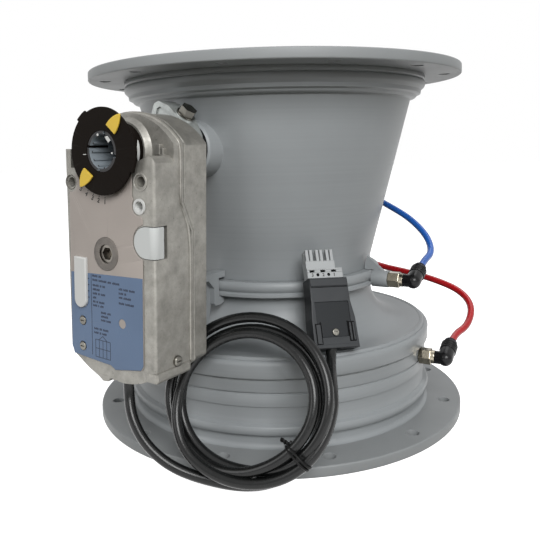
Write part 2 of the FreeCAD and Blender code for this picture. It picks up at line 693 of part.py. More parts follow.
def rear_housing():
    """Rear half of the housing, which carries the spindles and the board."""
    body = housing_shell(ACT_BACK, SPLIT_UPPER + 4)
    rim = [e for e in body.Edges if abs(e.CenterOfMass.y + ACT_BACK) < 0.01]
    body = body.makeFillet(1.5, rim)
    body = body.cut(housing_slab(ACT_INNER_BACK, SPLIT_UPPER + 5, HOUSING_WALL))
    lip = housing_ridge(-RIDGE_HALF - 0.6, -0.6, RIDGE_OUT).cut(
        housing_slab(SPLIT_LOWER - 12, SPLIT_UPPER + 12, HOUSING_WALL))
    body = fused(body, lip)
    body = body.cut(split_band(-WELD_GAP, 60))
    body = body.cut(barrel(HUB_NECK + 0.4, ACT_BACK - 1, ACT_INNER_BACK + 1))
    return on_actuator(body)


def front_plate():
    """Thin printed cover sheet on the front, cut round the hub, ears, socket and button."""
    points = [(-36.8, -28), (-29, -14), (22, -14), (22, -28), (PLATE_RIGHT, -42), (PLATE_RIGHT, -137.6),
              (29, -140.6), (5.5, -145), (0.8, -142.6), (-4, -142.6), (-35, -141), (-37.6, -135.4)]
    sheet = plate_xz(points, -(ACT_FRONT + PLATE_SHEET), -ACT_FRONT)
    sheet = sheet.cut(barrel(HUB_RECESS, ACT_FRONT - 1, ACT_FRONT + 2))
    for x, z in EAR_HOLES:
        sheet = sheet.cut(barrel(6.6, ACT_FRONT - 1, ACT_FRONT + 2, x, z))
    sheet = sheet.cut(barrel(EAR_BUSH_RADIUS + 1.2, ACT_FRONT - 1, ACT_FRONT + 2, EAR_BUSH[0], EAR_BUSH[1]))
    sheet = sheet.cut(barrel(8.2, ACT_FRONT - 1, ACT_FRONT + 2, MANUAL_PLACE[0], MANUAL_PLACE[1]))
    sheet = sheet.cut(barrel(BUTTON_RADIUS + 1.2, ACT_FRONT - 1, ACT_FRONT + 2, BUTTON_X, BUTTON_Z))
    for x, z in FRONT_SCREWS:
        sheet = sheet.cut(barrel(3.4, ACT_FRONT - 1, ACT_FRONT + 2, x, z))
    return on_actuator(sheet)


PLATE_SHEET = 0.6
CLIP_X = -26.0
CLIP_HALF = 5.7
CLIP_TOP = -72.0
CLIP_LOW = -101.0
PLATE_RIGHT = 31.0
FRONT_SCREWS = ((-25.6, -116.0), (-26.0, -134.1))
SCREW_SHANK = 1.2
SIDE_SHANK = 1.4


def type_label():
    """Bare blue field on the cover sheet, where the data would be printed."""
    low = ACT_FRONT + PLATE_SHEET
    right = PLATE_RIGHT - 0.3
    sheet = plate_xz([(-36.5, -83.3), (-20, -82.4), (right, -79.8), (right, -137.2), (28.8, -140.2), (5.5, -144.6),
                      (0.8, -142.2), (-4, -142.2), (-34.8, -140.6), (-37.0, -135.2)], -(low + 0.3), -low)
    sheet = sheet.cut(clip_outline(low - 1, low + 2, 0.3))
    sheet = sheet.cut(barrel(3.2, low - 1, low + 2, 12.2, -112.2))
    for x, z in FRONT_SCREWS:
        sheet = sheet.cut(barrel(3.4, low - 1, low + 2, x, z))
    return on_actuator(sheet)


def clip_outline(out_low, out_high, gap):
    """Long narrow bar with a round lower end."""
    half = CLIP_HALF + gap
    bar = block(CLIP_X - half, CLIP_X + half, out_low, out_high, CLIP_LOW, CLIP_TOP + gap)
    return bar.fuse(barrel(half, out_low, out_high, CLIP_X, CLIP_LOW)).removeSplitter()


def side_clip():
    """White plastic clip that covers the setting switches."""
    low = ACT_FRONT + PLATE_SHEET
    clip = clip_outline(low, low + 2.2, 0.0)
    clip = clip.makeFillet(0.8, [e for e in clip.Edges if abs(e.CenterOfMass.y + low + 2.2) < 0.01])
    return on_actuator(clip)


def screw(head_radius, head, shank_radius, shank):
    """Pan-head screw pointing along -Y, head outwards, seat at the origin."""
    top = Part.makeCylinder(head_radius, head, V(0, 0, 0), V(0, -1, 0))
    top = top.makeFillet(head * 0.45, edges_at(top, lambda p: p.y < -head + 0.01))
    slot = Part.makeBox(head_radius * 1.2, head * 0.5, 0.8, V(-head_radius * 0.6, -head, -0.4))
    return top.cut(slot).fuse(Part.makeCylinder(shank_radius, shank, V(0, 0, 0), V(0, 1, 0)))


def housing_screws():
    """Two cover screws on the front and the joint screw on the right-hand foot."""
    screws = []
    for x, z in FRONT_SCREWS:
        screws.append(moved(screw(2.9, 1.6, SCREW_SHANK, HOUSING_WALL), x, -ACT_FRONT, z))
    side = turned(screw(3.6, 2.2, SIDE_SHANK, HOUSING_WALL), UP, 90)
    screws.append(moved(side, ACT_HALF_WIDTH, -SIDE_SCREW[0], SIDE_SCREW[1]))
    return on_actuator(group(*screws))


SIDE_SCREW = (180.0, -137.0)


def ear_bush():
    """Pale ring pressed into the third ear hole."""
    ring = barrel(EAR_BUSH_RADIUS, ACT_FRONT - 10, ACT_FRONT + 0.8, EAR_BUSH[0], EAR_BUSH[1])
    return on_actuator(ring.cut(barrel(3.4, ACT_FRONT - 8, ACT_FRONT + 2, EAR_BUSH[0], EAR_BUSH[1])))


def release_button():
    """Button that frees the gears; it wraps round the housing's right-hand edge."""
    right = ACT_HALF_WIDTH + BUTTON_PROUD
    front = ACT_FRONT + BUTTON_PROUD
    body = button_block(0.0, right, ACT_FRONT - BUTTON_THICKNESS, front)
    corner = edges_along(body, UP, lambda p: p.y < -front + 0.01 and p.x > right - 0.01)
    return on_actuator(body.makeFillet(4.5, corner))


def cable_grommet():
    """Short rubber sleeve where the lead leaves the foot of the housing."""
    low = V(GROMMET_X, -GROMMET_OUT, GROMMET_LOW)
    sleeve = Part.makeCylinder(GROMMET_RADIUS, ACT_BOTTOM + 6 - GROMMET_LOW, low)
    collar = Part.makeCylinder(GROMMET_RADIUS + 2, 2, V(GROMMET_X, -GROMMET_OUT, ACT_BOTTOM + HOUSING_WALL + 0.2))
    sleeve = sleeve.fuse(collar).cut(Part.makeCylinder(CABLE_RADIUS - 0.5, 12, low))
    return on_actuator(sleeve)


# Drive train inside the housing

def gear(teeth, out_low, out_high, place, phase, bore):
    """Straight-cut wheel with one tooth pointing along the phase angle."""
    wheel = tooth_outline(teeth, phase).extrude(V(0, out_high - out_low, 0))
    wheel = moved(wheel, place[0], -out_high, place[1])
    if bore:
        wheel = wheel.cut(barrel(bore, out_low - 1, out_high + 1, place[0], place[1]))
    return wheel


def tooth_corners(teeth, root):
    """Corners of one straight-flanked tooth as (angle from its middle, radius)."""
    pitch = MODULE * teeth / 2
    tip = pitch + ADDENDUM * MODULE
    half_pitch = TOOTH_SHARE * math.pi / teeth
    half_root = half_pitch + FLANK * DEDENDUM * MODULE / pitch
    half_tip = half_pitch - FLANK * ADDENDUM * MODULE / pitch
    return ((-half_root, root), (-half_tip, tip), (half_tip, tip), (half_root, root))


def tooth_outline(teeth, phase):
    """Face of a whole toothed wheel."""
    root = MODULE * teeth / 2 - DEDENDUM * MODULE
    points = []
    for index in range(teeth):
        middle = math.radians(phase) + index * 2 * math.pi / teeth
        for angle, radius in tooth_corners(teeth, root):
            points.append(V(radius * math.cos(middle + angle), 0, radius * math.sin(middle + angle)))
    return outline(points)


SECTOR_RADIUS = MODULE * TEETH_SECTOR / 2
IDLER_DROP = SECTOR_RADIUS + MODULE * TEETH_IDLER_PINION / 2
MANUAL_REACH = MODULE * (TEETH_IDLER_WHEEL + TEETH_MANUAL_PINION) / 2
MANUAL_X = -2.0
MANUAL_DROP = IDLER_DROP + math.sqrt(MANUAL_REACH ** 2 - MANUAL_X ** 2)
MOTOR_DROP = MANUAL_DROP + MODULE * (TEETH_MANUAL_WHEEL + TEETH_MOTOR) / 2
IDLER_PLACE = (0.0, -IDLER_DROP)
MANUAL_PLACE = (MANUAL_X, -MANUAL_DROP)
MOTOR_PLACE = (MANUAL_X, -MOTOR_DROP)
DOWN_ANGLE = -90.0
MANUAL_ANGLE = DOWN_ANGLE + math.degrees(math.asin(MANUAL_X / MANUAL_REACH))


def gap_phase(teeth, towards):
    """Phase that puts a gap between teeth in one direction."""
    return towards + 180.0 / teeth


def sector_gear():
    """Output gear on the hub, toothed over the quarter turn that the blade makes."""
    low, high = GEAR_LEVELS[0]
    step = 360.0 / TEETH_SECTOR
    count = int(90.0 / step) + 3
    first = DOWN_ANGLE + step
    root = SECTOR_RADIUS - DEDENDUM * MODULE - 0.01
    start = math.radians(first - (count - 1) * step)
    end = math.radians(first)
    middle = (start + end) / 2

    def rim(angle):
        return V(root * math.cos(angle), -high, root * math.sin(angle))
    wedge = outline([V(0, -high, 0), rim(start), (rim(middle), rim(end))]).extrude(V(0, high - low, 0))
    hub = barrel(HUB_NECK + 4, low, high)
    crown = sector_teeth(range(1 - count, 1), first, low, high)
    body = wedge.fuse([hub] + crown).removeSplitter()
    return on_actuator(body.cut(barrel(HUB_NECK + GEAR_FIT, low - 1, high + 1)))


def sector_teeth(indices, phase, out_low, out_high):
    """The sector's teeth as short prisms that reach into its rim."""
    step = 2 * math.pi / TEETH_SECTOR
    sunk = SECTOR_RADIUS - DEDENDUM * MODULE - 0.6
    teeth = []
    for index in indices:
        middle = math.radians(phase) + index * step
        corners = []
        for angle, radius in tooth_corners(TEETH_SECTOR, sunk):
            corners.append(V(radius * math.cos(middle + angle), -out_high, radius * math.sin(middle + angle)))
        teeth.append(outline(corners).extrude(V(0, out_high - out_low, 0)))
    return teeth


# Levels of the gear train along the shaft line
GEAR_LEVELS = ((153.0, 158.0), (152.4, 158.6), (160.0, 163.5), (159.4, 164.1), (165.4, 168.6), (165.0, 169.0))


def intermediate_gear():
    """Pinion under the sector with the larger wheel in front of it."""
    bore = SPINDLE_RADIUS + GEAR_FIT
    pinion = gear(TEETH_IDLER_PINION, *GEAR_LEVELS[1], IDLER_PLACE, gap_phase(TEETH_IDLER_PINION, 90), bore)
    wheel = gear(TEETH_IDLER_WHEEL, *GEAR_LEVELS[2], IDLER_PLACE, MANUAL_ANGLE, bore)
    collar = barrel(4.5, GEAR_LEVELS[1][1] - 0.5, GEAR_LEVELS[2][0] + 0.5, *IDLER_PLACE)
    collar = collar.cut(barrel(bore, 150, 170, *IDLER_PLACE))
    return on_actuator(pinion.fuse([wheel, collar]).removeSplitter())


def manual_gear():
    """Second wheel and pinion on a long shaft that ends in the hexagon socket."""
    phase = gap_phase(TEETH_MANUAL_PINION, MANUAL_ANGLE + 180)
    pinion = gear(TEETH_MANUAL_PINION, *GEAR_LEVELS[3], MANUAL_PLACE, phase, 0)
    wheel = gear(TEETH_MANUAL_WHEEL, *GEAR_LEVELS[4], MANUAL_PLACE, DOWN_ANGLE, 0)
    shaft = barrel(4.0, GEAR_LEVELS[3][0], ACT_FRONT - 6, *MANUAL_PLACE)
    pivot = barrel(SPINDLE_RADIUS, ACT_INNER_BACK + SMALL_GAP, GEAR_LEVELS[3][0] + 1, *MANUAL_PLACE)
    head = barrel(7.9, ACT_FRONT - 6, ACT_FRONT - 0.4, *MANUAL_PLACE)
    rim = edges_at(head, lambda p: p.y < -(ACT_FRONT - 0.5))
    head = head.makeFillet(0.6, rim)
    hexagon = prism_along_y(6, 4.6, 6.0)
    hexagon.translate(V(MANUAL_PLACE[0], -ACT_FRONT, MANUAL_PLACE[1]))
    body = pinion.fuse([wheel, shaft, pivot, head]).removeSplitter()
    return on_actuator(body.cut(hexagon))


def prism_along_y(sides, radius, length):
    """Regular prism from the XZ plane along +Y; the radius is to its corners."""
    points = []
    for index in range(sides):
        angle = 2 * math.pi * index / sides
        points.append(V(radius * math.cos(angle), 0, radius * math.sin(angle)))
    return outline(points).extrude(V(0, length, 0))


def motor_rotor():
    """Pinion on the motor's spindle."""
    pinion = gear(TEETH_MOTOR, *GEAR_LEVELS[5], MOTOR_PLACE, gap_phase(TEETH_MOTOR, 90), 0)
    spindle = barrel(SPINDLE_RADIUS, GEAR_LEVELS[5][1] - 1, MOTOR_FACE + 5, *MOTOR_PLACE)
    return on_actuator(pinion.fuse(spindle).removeSplitter())


GEAR_PLATE = (170.0, 171.4)
MOTOR_FACE = GEAR_PLATE[1] + SMALL_GAP
MOTOR_RADIUS = 13.0
MOTOR_LENGTH = 22.0


def drive_motor():
    """Small motor can with a stepped rear end, on the gear plate."""
    can = barrel(MOTOR_RADIUS, MOTOR_FACE, MOTOR_FACE + MOTOR_LENGTH, *MOTOR_PLACE)
    end = barrel(MOTOR_RADIUS - 6, MOTOR_FACE + MOTOR_LENGTH, MOTOR_FACE + MOTOR_LENGTH + 2, *MOTOR_PLACE)
    hollow = barrel(SPINDLE_RADIUS + GEAR_FIT, MOTOR_FACE - 1, MOTOR_FACE + 6, *MOTOR_PLACE)
    return on_actuator(can.fuse(end).removeSplitter().cut(hollow))


def gear_plate():
    """Plate in front of the gears, which holds the spindle and the motor."""
    sheet = plate_xz([(-30, -30), (30, -30), (30, -44), (17, -52), (17, -106), (-30, -106)],
                     -GEAR_PLATE[1], -GEAR_PLATE[0])
    sheet = sheet.cut(barrel(SPINDLE_RADIUS + 0.02, 165, 175, *IDLER_PLACE))
    sheet = sheet.cut(barrel(4.0 + GEAR_FIT, 165, 175, *MANUAL_PLACE))
    sheet = sheet.cut(barrel(SPINDLE_RADIUS + GEAR_FIT, 165, 175, *MOTOR_PLACE))
    posts = []
    for x, z in ((-25, -36), (25, -36), (-25, -101)):
        posts.append(barrel(2.5, ACT_INNER_BACK, GEAR_PLATE[0], x, z))
    return on_actuator(sheet.fuse(posts).removeSplitter())


def gear_spindle():
    """Fixed pin under the intermediate gear."""
    return on_actuator(barrel(SPINDLE_RADIUS, ACT_INNER_BACK, GEAR_PLATE[1], *IDLER_PLACE))


def circuit_board():
    """Control board in the foot of the housing, on two posts."""
    board = block(-29, 31, 158, 159.6, -139, -113)
    for x in (-24, 24):
        board = board.fuse(barrel(2.0, ACT_INNER_BACK, 158.5, x, -127))
    parts = [block(-20, -6, 159.6, 166, -134, -120), block(2, 12, 159.6, 162.5, -132, -122)]
    return on_actuator(board.fuse(parts).removeSplitter())


# Hub, adapter, indicator and clamp, which turn with the shaft

def output_hub():
    """Hollow hub of the gearbox with its wide head in front of the dome face."""
    neck = barrel(HUB_NECK, CLAMP_FRONT + 0.3, DOME_FACE + 2)
    head = barrel(HUB_HEAD, DOME_FACE + 0.5, HUB_END)
    hub = neck.fuse(head).removeSplitter()
    return on_shaft_line(hub.cut(barrel(HUB_BORE, 100, 220)))


def shaft_adapter():
    """Grey sleeve with inner splines and slots, which centres the shaft in the hub."""
    front = DISC_BACK + DISC_THICKNESS - 0.4
    inner = ADAPTER_RADIUS - ADAPTER_WALL
    sleeve = barrel(ADAPTER_RADIUS, CLAMP_FRONT, front).cut(barrel(inner, 152, front + 1))
    sleeve = sleeve.cut(barrel(SHAFT_RADIUS + WELD_GAP, 100, 153))
    splines = []
    for index in range(12):
        spline = block(inner - 1.0, inner + 0.5, 152, front - 2, -0.7, 0.7)
        splines.append(turned(spline, V(0, 1, 0), index * 30))
    sleeve = sleeve.fuse(splines).removeSplitter()
    for index in range(4):
        slot = block(inner - 2, ADAPTER_RADIUS + 1, front - 16, front + 1, -1.0, 1.0)
        sleeve = sleeve.cut(turned(slot, V(0, 1, 0), 15 + index * 90))
    return on_shaft_line(sleeve)


def indicator_disc():
    """Black position disc with a raised tab and a wider stretch of rim on the right."""
    disc = barrel(DISC_RADIUS, DISC_BACK, DISC_BACK + DISC_THICKNESS)
    disc = disc.fuse([rim_sector(DISC_RADIUS + 1.7, 118, 136), rim_sector(DISC_RADIUS + 2.2, -27, 22)])
    disc = disc.removeSplitter()
    return on_shaft_line(disc.cut(barrel(HUB_BORE, 190, 220)))


def rim_sector(radius, start, end):
    """Sector of the disc that stands out past its rim, between two angles."""
    def rim(angle):
        a = math.radians(angle)
        return V(radius * math.cos(a), -(DISC_BACK + DISC_THICKNESS), radius * math.sin(a))
    centre = V(0, -(DISC_BACK + DISC_THICKNESS), 0)
    face = outline([centre, rim(start), (rim((start + end) / 2), rim(end))])
    return face.extrude(V(0, DISC_THICKNESS, 0))


def pointer_arrows():
    """Two fan-shaped clips on the disc's face, pointing outwards on opposite sides."""
    low = DISC_BACK + DISC_THICKNESS
    upper = [V(6.5, 0, 16.8), (V(12.5, 0, 21.4), V(19.2, 0, 23.2)), (V(17.6, 0, 16.1), V(13.8, 0, 10.5))]
    lower = [V(-15.8, 0, -10.5), (V(-20.3, 0, -18.6), V(-20.3, 0, -23.2)), (V(-14.6, 0, -21.6), V(-7.9, 0, -16))]
    arrows = []
    for points in (upper, lower):
        arrows.append(moved(outline(points).extrude(V(0, -1.2, 0)), 0, -low, 0))
    return on_shaft_line(group(*arrows))


def clamp_block():
    """Cast yoke that clamps the shaft behind the actuator, pocketed on its front face."""
    points = [(-13.2, 33.5), (-8.7, 35.4), (1, 31.3), (13, 20), (18, 10), (19, -7), (11, -15), (-11, -15),
              (-19, -7), (-19, 9), (-17.5, 22)]
    body = rounded_prism(points, CLAMP_BACK, CLAMP_FRONT, 1.0)
    pocket = rounded_prism([(-10.5, 30), (-7.5, 31), (0, 27.5), (10.5, 17), (13.6, 10), (-9, 10), (-11.6, 26)],
                           CLAMP_FRONT - 1.5, CLAMP_FRONT + 1, 0.6)
    body = body.cut(pocket)
    seat = bolt_axis(Part.makeCylinder(CLAMP_SEAT_RADIUS, CLAMP_HEAD_SEAT - 12, V(0, 0, 12)))
    hole = bolt_axis(Part.makeCylinder(CLAMP_BOLT_RADIUS + 0.1, 60, V(0, 0, CLAMP_BOLT_END - 0.3)))
    body = body.fuse(seat).removeSplitter().cut(hole)
    body = body.cut(barrel(SHAFT_RADIUS + WELD_GAP, CLAMP_BACK - 1, CLAMP_FRONT + 1))
    body = body.cut(block(-1.0, 1.0, CLAMP_BACK - 1, CLAMP_FRONT + 1, -20, -5))
    return on_shaft_line(body)


def bolt_axis(shape):
    """From the Z axis to the clamp bolt's slanted line above the shaft."""
    middle = -(CLAMP_BACK + CLAMP_FRONT) / 2
    slant = CLAMP_BOLT_SLANT
    lifted = turned(shape, V(0, 1, 0), 90 - slant)
    a = math.radians(slant)
    return moved(lifted, -CLAMP_BOLT_OFFSET * math.sin(a), middle, CLAMP_BOLT_OFFSET * math.cos(a))


def clamp_bolt():
    """Hexagon bolt with a washer that pulls the yoke's jaw onto the shaft."""
    seat = CLAMP_HEAD_SEAT
    shank = Part.makeCylinder(CLAMP_BOLT_RADIUS, seat - CLAMP_BOLT_END, V(0, 0, CLAMP_BOLT_END))
    washer = Part.makeCylinder(CLAMP_SEAT_RADIUS - 0.4, CLAMP_WASHER, V(0, 0, seat))
    head = turned(prism_along_y(6, 6.3, 5.2), V(1, 0, 0), 90)
    bolt = shank.fuse([moved(head, 0, 0, seat + CLAMP_WASHER), washer])
    return on_shaft_line(bolt_axis(bolt.removeSplitter()))


# Pressure taps and elbows: built along +X, then turned to their azimuth

def at_tap(shape, azimuth, z):
    return turned(moved(shape, 0, 0, z), UP, azimuth - 90)


def throat_tap_boss():
    """Boss on the pressure ring with a rib up to the throat band."""
    base = RING_OUTER + WELD_GAP
    boss = Part.makeCylinder(TAP_BOSS_RADIUS, THROAT_TAP_FACE - base + 4, V(base - 4, 0, 0), V(1, 0, 0))
    rib = [(THROAT_OUTER + 1, 7.4), (THROAT_OUTER + 1, 11), (THROAT_OUTER + 3.2, 19), (101, 6.5),
           (101, 3), (base + 1, 3), (base + 1, 7.4)]
    face = outline([V(r, -1.6, h) for r, h in rib])
    body = fused(boss, face.extrude(V(0, 3.2, 0)))
    ring = Part.makeCylinder(base, 60, V(0, 0, NOZZLE_TOP_Z - 60 - THROAT_TAP_Z + 0.02))
    bore = Part.makeCylinder(SPIGOT_RADIUS + 0.1, SPIGOT_LENGTH + 1, V(THROAT_TAP_FACE - SPIGOT_LENGTH, 0, 0),
                             V(1, 0, 0))
    way = Part.makeCylinder(PORT_HOLE / 2, 30, V(base - 5, 0, 0), V(1, 0, 0))
    return at_tap(body.cut([ring, bore, way]), THROAT_TAP_AZIMUTH, THROAT_TAP_Z)


def tap_fitting(face):
    """Plated hexagon with a collar and a spigot that screws into the boss."""
    spigot = Part.makeCylinder(SPIGOT_RADIUS, SPIGOT_LENGTH, V(face - SPIGOT_LENGTH, 0, 0), V(1, 0, 0))
    hexagon = turned(prism_along_y(6, FITTING_HEX / math.sqrt(3), FITTING_HEX_LENGTH), UP, -90)
    ring = Part.makeCylinder(FITTING_HEX / 2 - 0.6, FITTING_RING, V(face + FITTING_HEX_LENGTH, 0, 0), V(1, 0, 0))
    bore = Part.makeCylinder(PORT_HOLE / 2, 40, V(face - SPIGOT_LENGTH - 1, 0, 0), V(1, 0, 0))
    return spigot.fuse([moved(hexagon, face, 0, 0), ring]).removeSplitter().cut(bore)


def throat_tap_fitting():
    return at_tap(tap_fitting(THROAT_TAP_FACE), THROAT_TAP_AZIMUTH, THROAT_TAP_Z)


def inlet_tap_fitting():
    return at_tap(tap_fitting(INLET_TAP_FACE), INLET_TAP_AZIMUTH, INLET_TAP_Z)


def elbow_corner(face):
    return face + FITTING_HEX_LENGTH + FITTING_RING + ELBOW_ARM


def socket_direction():
    """The hose socket points backwards and a little up, square to the tap."""
    lift = math.radians(SOCKET_LIFT)
    return V(0, math.cos(lift), math.sin(lift))


def elbow(face):
    """Push-in elbow: arm along the tap, round corner, wider hose socket."""
    corner = V(elbow_corner(face), 0, 0)
    way = socket_direction()
    start = face + FITTING_HEX_LENGTH + FITTING_RING
    arm = Part.makeCylinder(ELBOW_RADIUS, ELBOW_ARM, V(start, 0, 0), V(1, 0, 0))
    ball = Part.makeSphere(SOCKET_RADIUS, corner)
    socket = Part.makeCylinder(SOCKET_RADIUS, SOCKET_LENGTH - 2, corner, way)
    lip_start = corner.add(V(way).multiply(SOCKET_LENGTH - 2))
    lip = Part.makeCone(SOCKET_RADIUS, SOCKET_RADIUS - 0.8, 2, lip_start, way)
    body = arm.fuse([ball, socket, lip]).removeSplitter()
    hose_way = Part.makeCylinder(HOSE_RADIUS + 0.05, 30, corner.add(V(way).multiply(HOSE_INSERT)), way)
    bore = Part.makeCylinder(COLLET_RADIUS + COLLET_FIT, 12,
                             corner.add(V(way).multiply(SOCKET_LENGTH - COLLET_DEPTH - COLLET_TRAVEL - 0.3)), way)
    return body.cut([hose_way, bore])


def collet(face):
    """Release ring round the hose, pushed in to free it."""
    corner = V(elbow_corner(face), 0, 0)
    way = socket_direction()
    start = corner.add(V(way).multiply(SOCKET_LENGTH - COLLET_DEPTH))
    body = Part.makeCylinder(COLLET_RADIUS, COLLET_DEPTH + COLLET_OUT, start, way)
    flange_start = corner.add(V(way).multiply(SOCKET_LENGTH + COLLET_OUT - 0.7))
    body = body.fuse(Part.makeCylinder(COLLET_RADIUS + 0.6, 0.7, flange_start, way)).removeSplitter()
    return body.cut(Part.makeCylinder(HOSE_RADIUS + COLLET_FIT, 40, corner, way))


def hose_start(face, azimuth, z, reach):
    """Point on the hose socket's axis, in the part's frame."""
    point = V(elbow_corner(face), 0, z).add(socket_direction().multiply(reach))
    return FreeCAD.Rotation(UP, azimuth - 90).multVec(point)


# Pressure transducer behind the diffuser

def sensor_bracket():
    """Folded sheet: a back plate with two webs that end on the cone."""
    low = NOZZLE_TOP_Z + 4
    high = SENSOR_HIGH - 8
    face = SENSOR_BACK - SMALL_GAP
    plate = Part.makeBox(44, BRACKET_SHEET, high - low, V(-22, face - BRACKET_SHEET, low))
    webs = [Part.makeBox(BRACKET_SHEET, face - 70, high - low, V(x, 70, low)) for x in (-22, 22 - BRACKET_SHEET)]
    inside = revolved([(0, 100), (THROAT_OUTER + 0.1, 100), (THROAT_OUTER + 0.1, DIFFUSER_START_Z),
                       (CONE_TOP_RADIUS + 0.1, CONE_TOP_Z), (0, CONE_TOP_Z)])
    return fused(plate, *webs).cut(inside)


def sensor_box(y_low, y_high):
    box = Part.makeBox(2 * SENSOR_HALF_WIDTH, y_high - y_low, SENSOR_HIGH - SENSOR_LOW,
                       V(-SENSOR_HALF_WIDTH, y_low, SENSOR_LOW))
    return box.makeFillet(4.0, edges_along(box, V(0, 1, 0)))


def sensor_housing():
    """Open box of the transducer with a seat for its cover."""
    top = SENSOR_BACK + SENSOR_DEPTH - SENSOR_COVER
    box = sensor_box(SENSOR_BACK, top)
    room = Part.makeBox(2 * SENSOR_HALF_WIDTH - 5, SENSOR_DEPTH, SENSOR_HIGH - SENSOR_LOW - 5,
                        V(-SENSOR_HALF_WIDTH + 2.5, SENSOR_BACK + 2.5, SENSOR_LOW + 2.5))
    box = box.cut(room)
    for z in (PORT_BLUE_Z, PORT_RED_Z):
        box = box.cut(Part.makeCylinder(PORT_RADIUS + 0.05, 10, V(SENSOR_HALF_WIDTH - 5, sensor_port_y(), z),
                                        V(1, 0, 0)))
    return box


def sensor_port_y():
    return SENSOR_BACK + SENSOR_DEPTH / 2


def sensor_cover():
    """Lid with eased edges and four corner screws' recesses."""
    low = SENSOR_BACK + SENSOR_DEPTH - SENSOR_COVER + WELD_GAP
    lid = sensor_box(low, SENSOR_BACK + SENSOR_DEPTH)
    front = [e for e in lid.Edges if abs(e.CenterOfMass.y - SENSOR_BACK - SENSOR_DEPTH) < 0.01]
    lid = lid.makeFillet(1.5, front)
    for x in (-1, 1):
        for z in (SENSOR_LOW + 7, SENSOR_HIGH - 7):
            centre = V(x * (SENSOR_HALF_WIDTH - 7), SENSOR_BACK + SENSOR_DEPTH - 2.5, z)
            lid = lid.cut(Part.makeCylinder(3.0, 5, centre, V(0, 1, 0)))
    return lid


def sensor_nozzles():
    """Two barbed ports that the hoses push onto."""
    ports = []
    y = sensor_port_y()
    start = SENSOR_HALF_WIDTH - 4
    for z in (PORT_BLUE_Z, PORT_RED_Z):
        tube = Part.makeCylinder(PORT_RADIUS, 4 + PORT_LENGTH, V(start, y, z), V(1, 0, 0))
        collar = Part.makeCylinder(PORT_RADIUS + 2.2, 2, V(SENSOR_HALF_WIDTH + WELD_GAP, y, z), V(1, 0, 0))
        flange_in = Part.makeCylinder(PORT_RADIUS + 1.6, 1.3, V(start, y, z), V(1, 0, 0))
        ports.append(tube.fuse([collar, flange_in]).removeSplitter())
    return group(*ports)


# Cords

def cord_path(points, name):
    """Straight runs joined by tangent arcs, each as large as its two runs allow."""
    edges = []
    here = points[0]
    radii = []
    for index in range(1, len(points) - 1):
        before = points[index].sub(points[index - 1])
        after = points[index + 1].sub(points[index])
        turn = before.getAngle(after)
        reach = 0.45 * min(before.Length, after.Length)
        radii.append(reach / math.tan(turn / 2))
        start = points[index].sub(V(before).normalize().multiply(reach))
        end = points[index].add(V(after).normalize().multiply(reach))
        towards = V(after).normalize().sub(V(before).normalize()).normalize()
        sagitta = radii[-1] * (1 / math.cos(turn / 2) - 1)
        middle = points[index].add(towards.multiply(sagitta))
        edges.append(Part.LineSegment(here, start).toShape())
        edges.append(Part.Arc(start, middle, end).toShape())
        here = end
    edges.append(Part.LineSegment(here, points[-1]).toShape())
    path = Part.Wire(edges)
    turns = [round(math.degrees(points[i].sub(points[i - 1]).getAngle(points[i + 1].sub(points[i]))))
             for i in range(1, len(points) - 1)]
    runs = [round(points[i + 1].sub(points[i]).Length) for i in range(len(points) - 1)]
    print(name, "length %.0f" % path.Length, "radii", [round(r) for r in radii], "turns", turns, "runs", runs)
    return path


def cord(points, radius, name):
    path = cord_path(points, name)
    first = points[1].sub(points[0])
    ring = Part.Wire(Part.Circle(points[0], first, radius).toShape())
    tube = path.makePipeShell([ring], True, False)
    expected = math.pi * radius ** 2 * path.Length
    print(name, "volume share %.4f" % (tube.Volume / expected))
    return tube


def blue_hose():
    """From the throat tap round the back of the cone to the transducer's upper port."""
    tap = (THROAT_TAP_FACE, THROAT_TAP_AZIMUTH, THROAT_TAP_Z)
    route = [hose_start(*tap, HOSE_INSERT), hose_start(*tap, HOSE_INSERT + HOSE_LEAD),
             V(136, -17.5, 131), V(136.5, 2, 143), V(125.5, 23, 157), V(110, 44, 167),
             V(98, 70, 174), V(84, 100, 181), V(66, sensor_port_y(), PORT_BLUE_Z),
             V(SENSOR_HALF_WIDTH + 2.1, sensor_port_y(), PORT_BLUE_Z)]
    return over_port(cord(route, HOSE_RADIUS, "blue_hose"), PORT_BLUE_Z)


def over_port(hose, z):
    """Open the hose's end where the barbed port goes in."""
    start = V(SENSOR_HALF_WIDTH, sensor_port_y(), z)
    return hose.cut(Part.makeCylinder(PORT_RADIUS + WELD_GAP, PORT_LENGTH + 0.3, start, V(1, 0, 0)))


def red_hose():
    """From the inlet tap in a wide bow round the back to the transducer's lower port."""
    tap = (INLET_TAP_FACE, INLET_TAP_AZIMUTH, INLET_TAP_Z)
    route = [hose_start(*tap, HOSE_INSERT), hose_start(*tap, HOSE_INSERT + HOSE_LEAD),
             V(163, -33, 69.5), V(172, -16, 82.5), V(167, 4.5, 92), V(149, 22, 98.5),
             V(128, 41, 102.5), V(108, 62, 104), V(92, 88, 106.5), V(68, sensor_port_y(), PORT_RED_Z),
             V(SENSOR_HALF_WIDTH + 2.1, sensor_port_y(), PORT_RED_Z)]
    return over_port(cord(route, HOSE_RADIUS, "red_hose"), PORT_RED_Z)


def in_actuator_frame(x, out, z):
    """Point of the actuator in the part's frame."""
    tilt = FreeCAD.Rotation(V(0, 1, 0), ACT_TILT).multVec(V(x, -out, z))
    return FreeCAD.Rotation(UP, -SHAFT_AZIMUTH).multVec(tilt.add(V(0, 0, SHAFT_HEIGHT)))


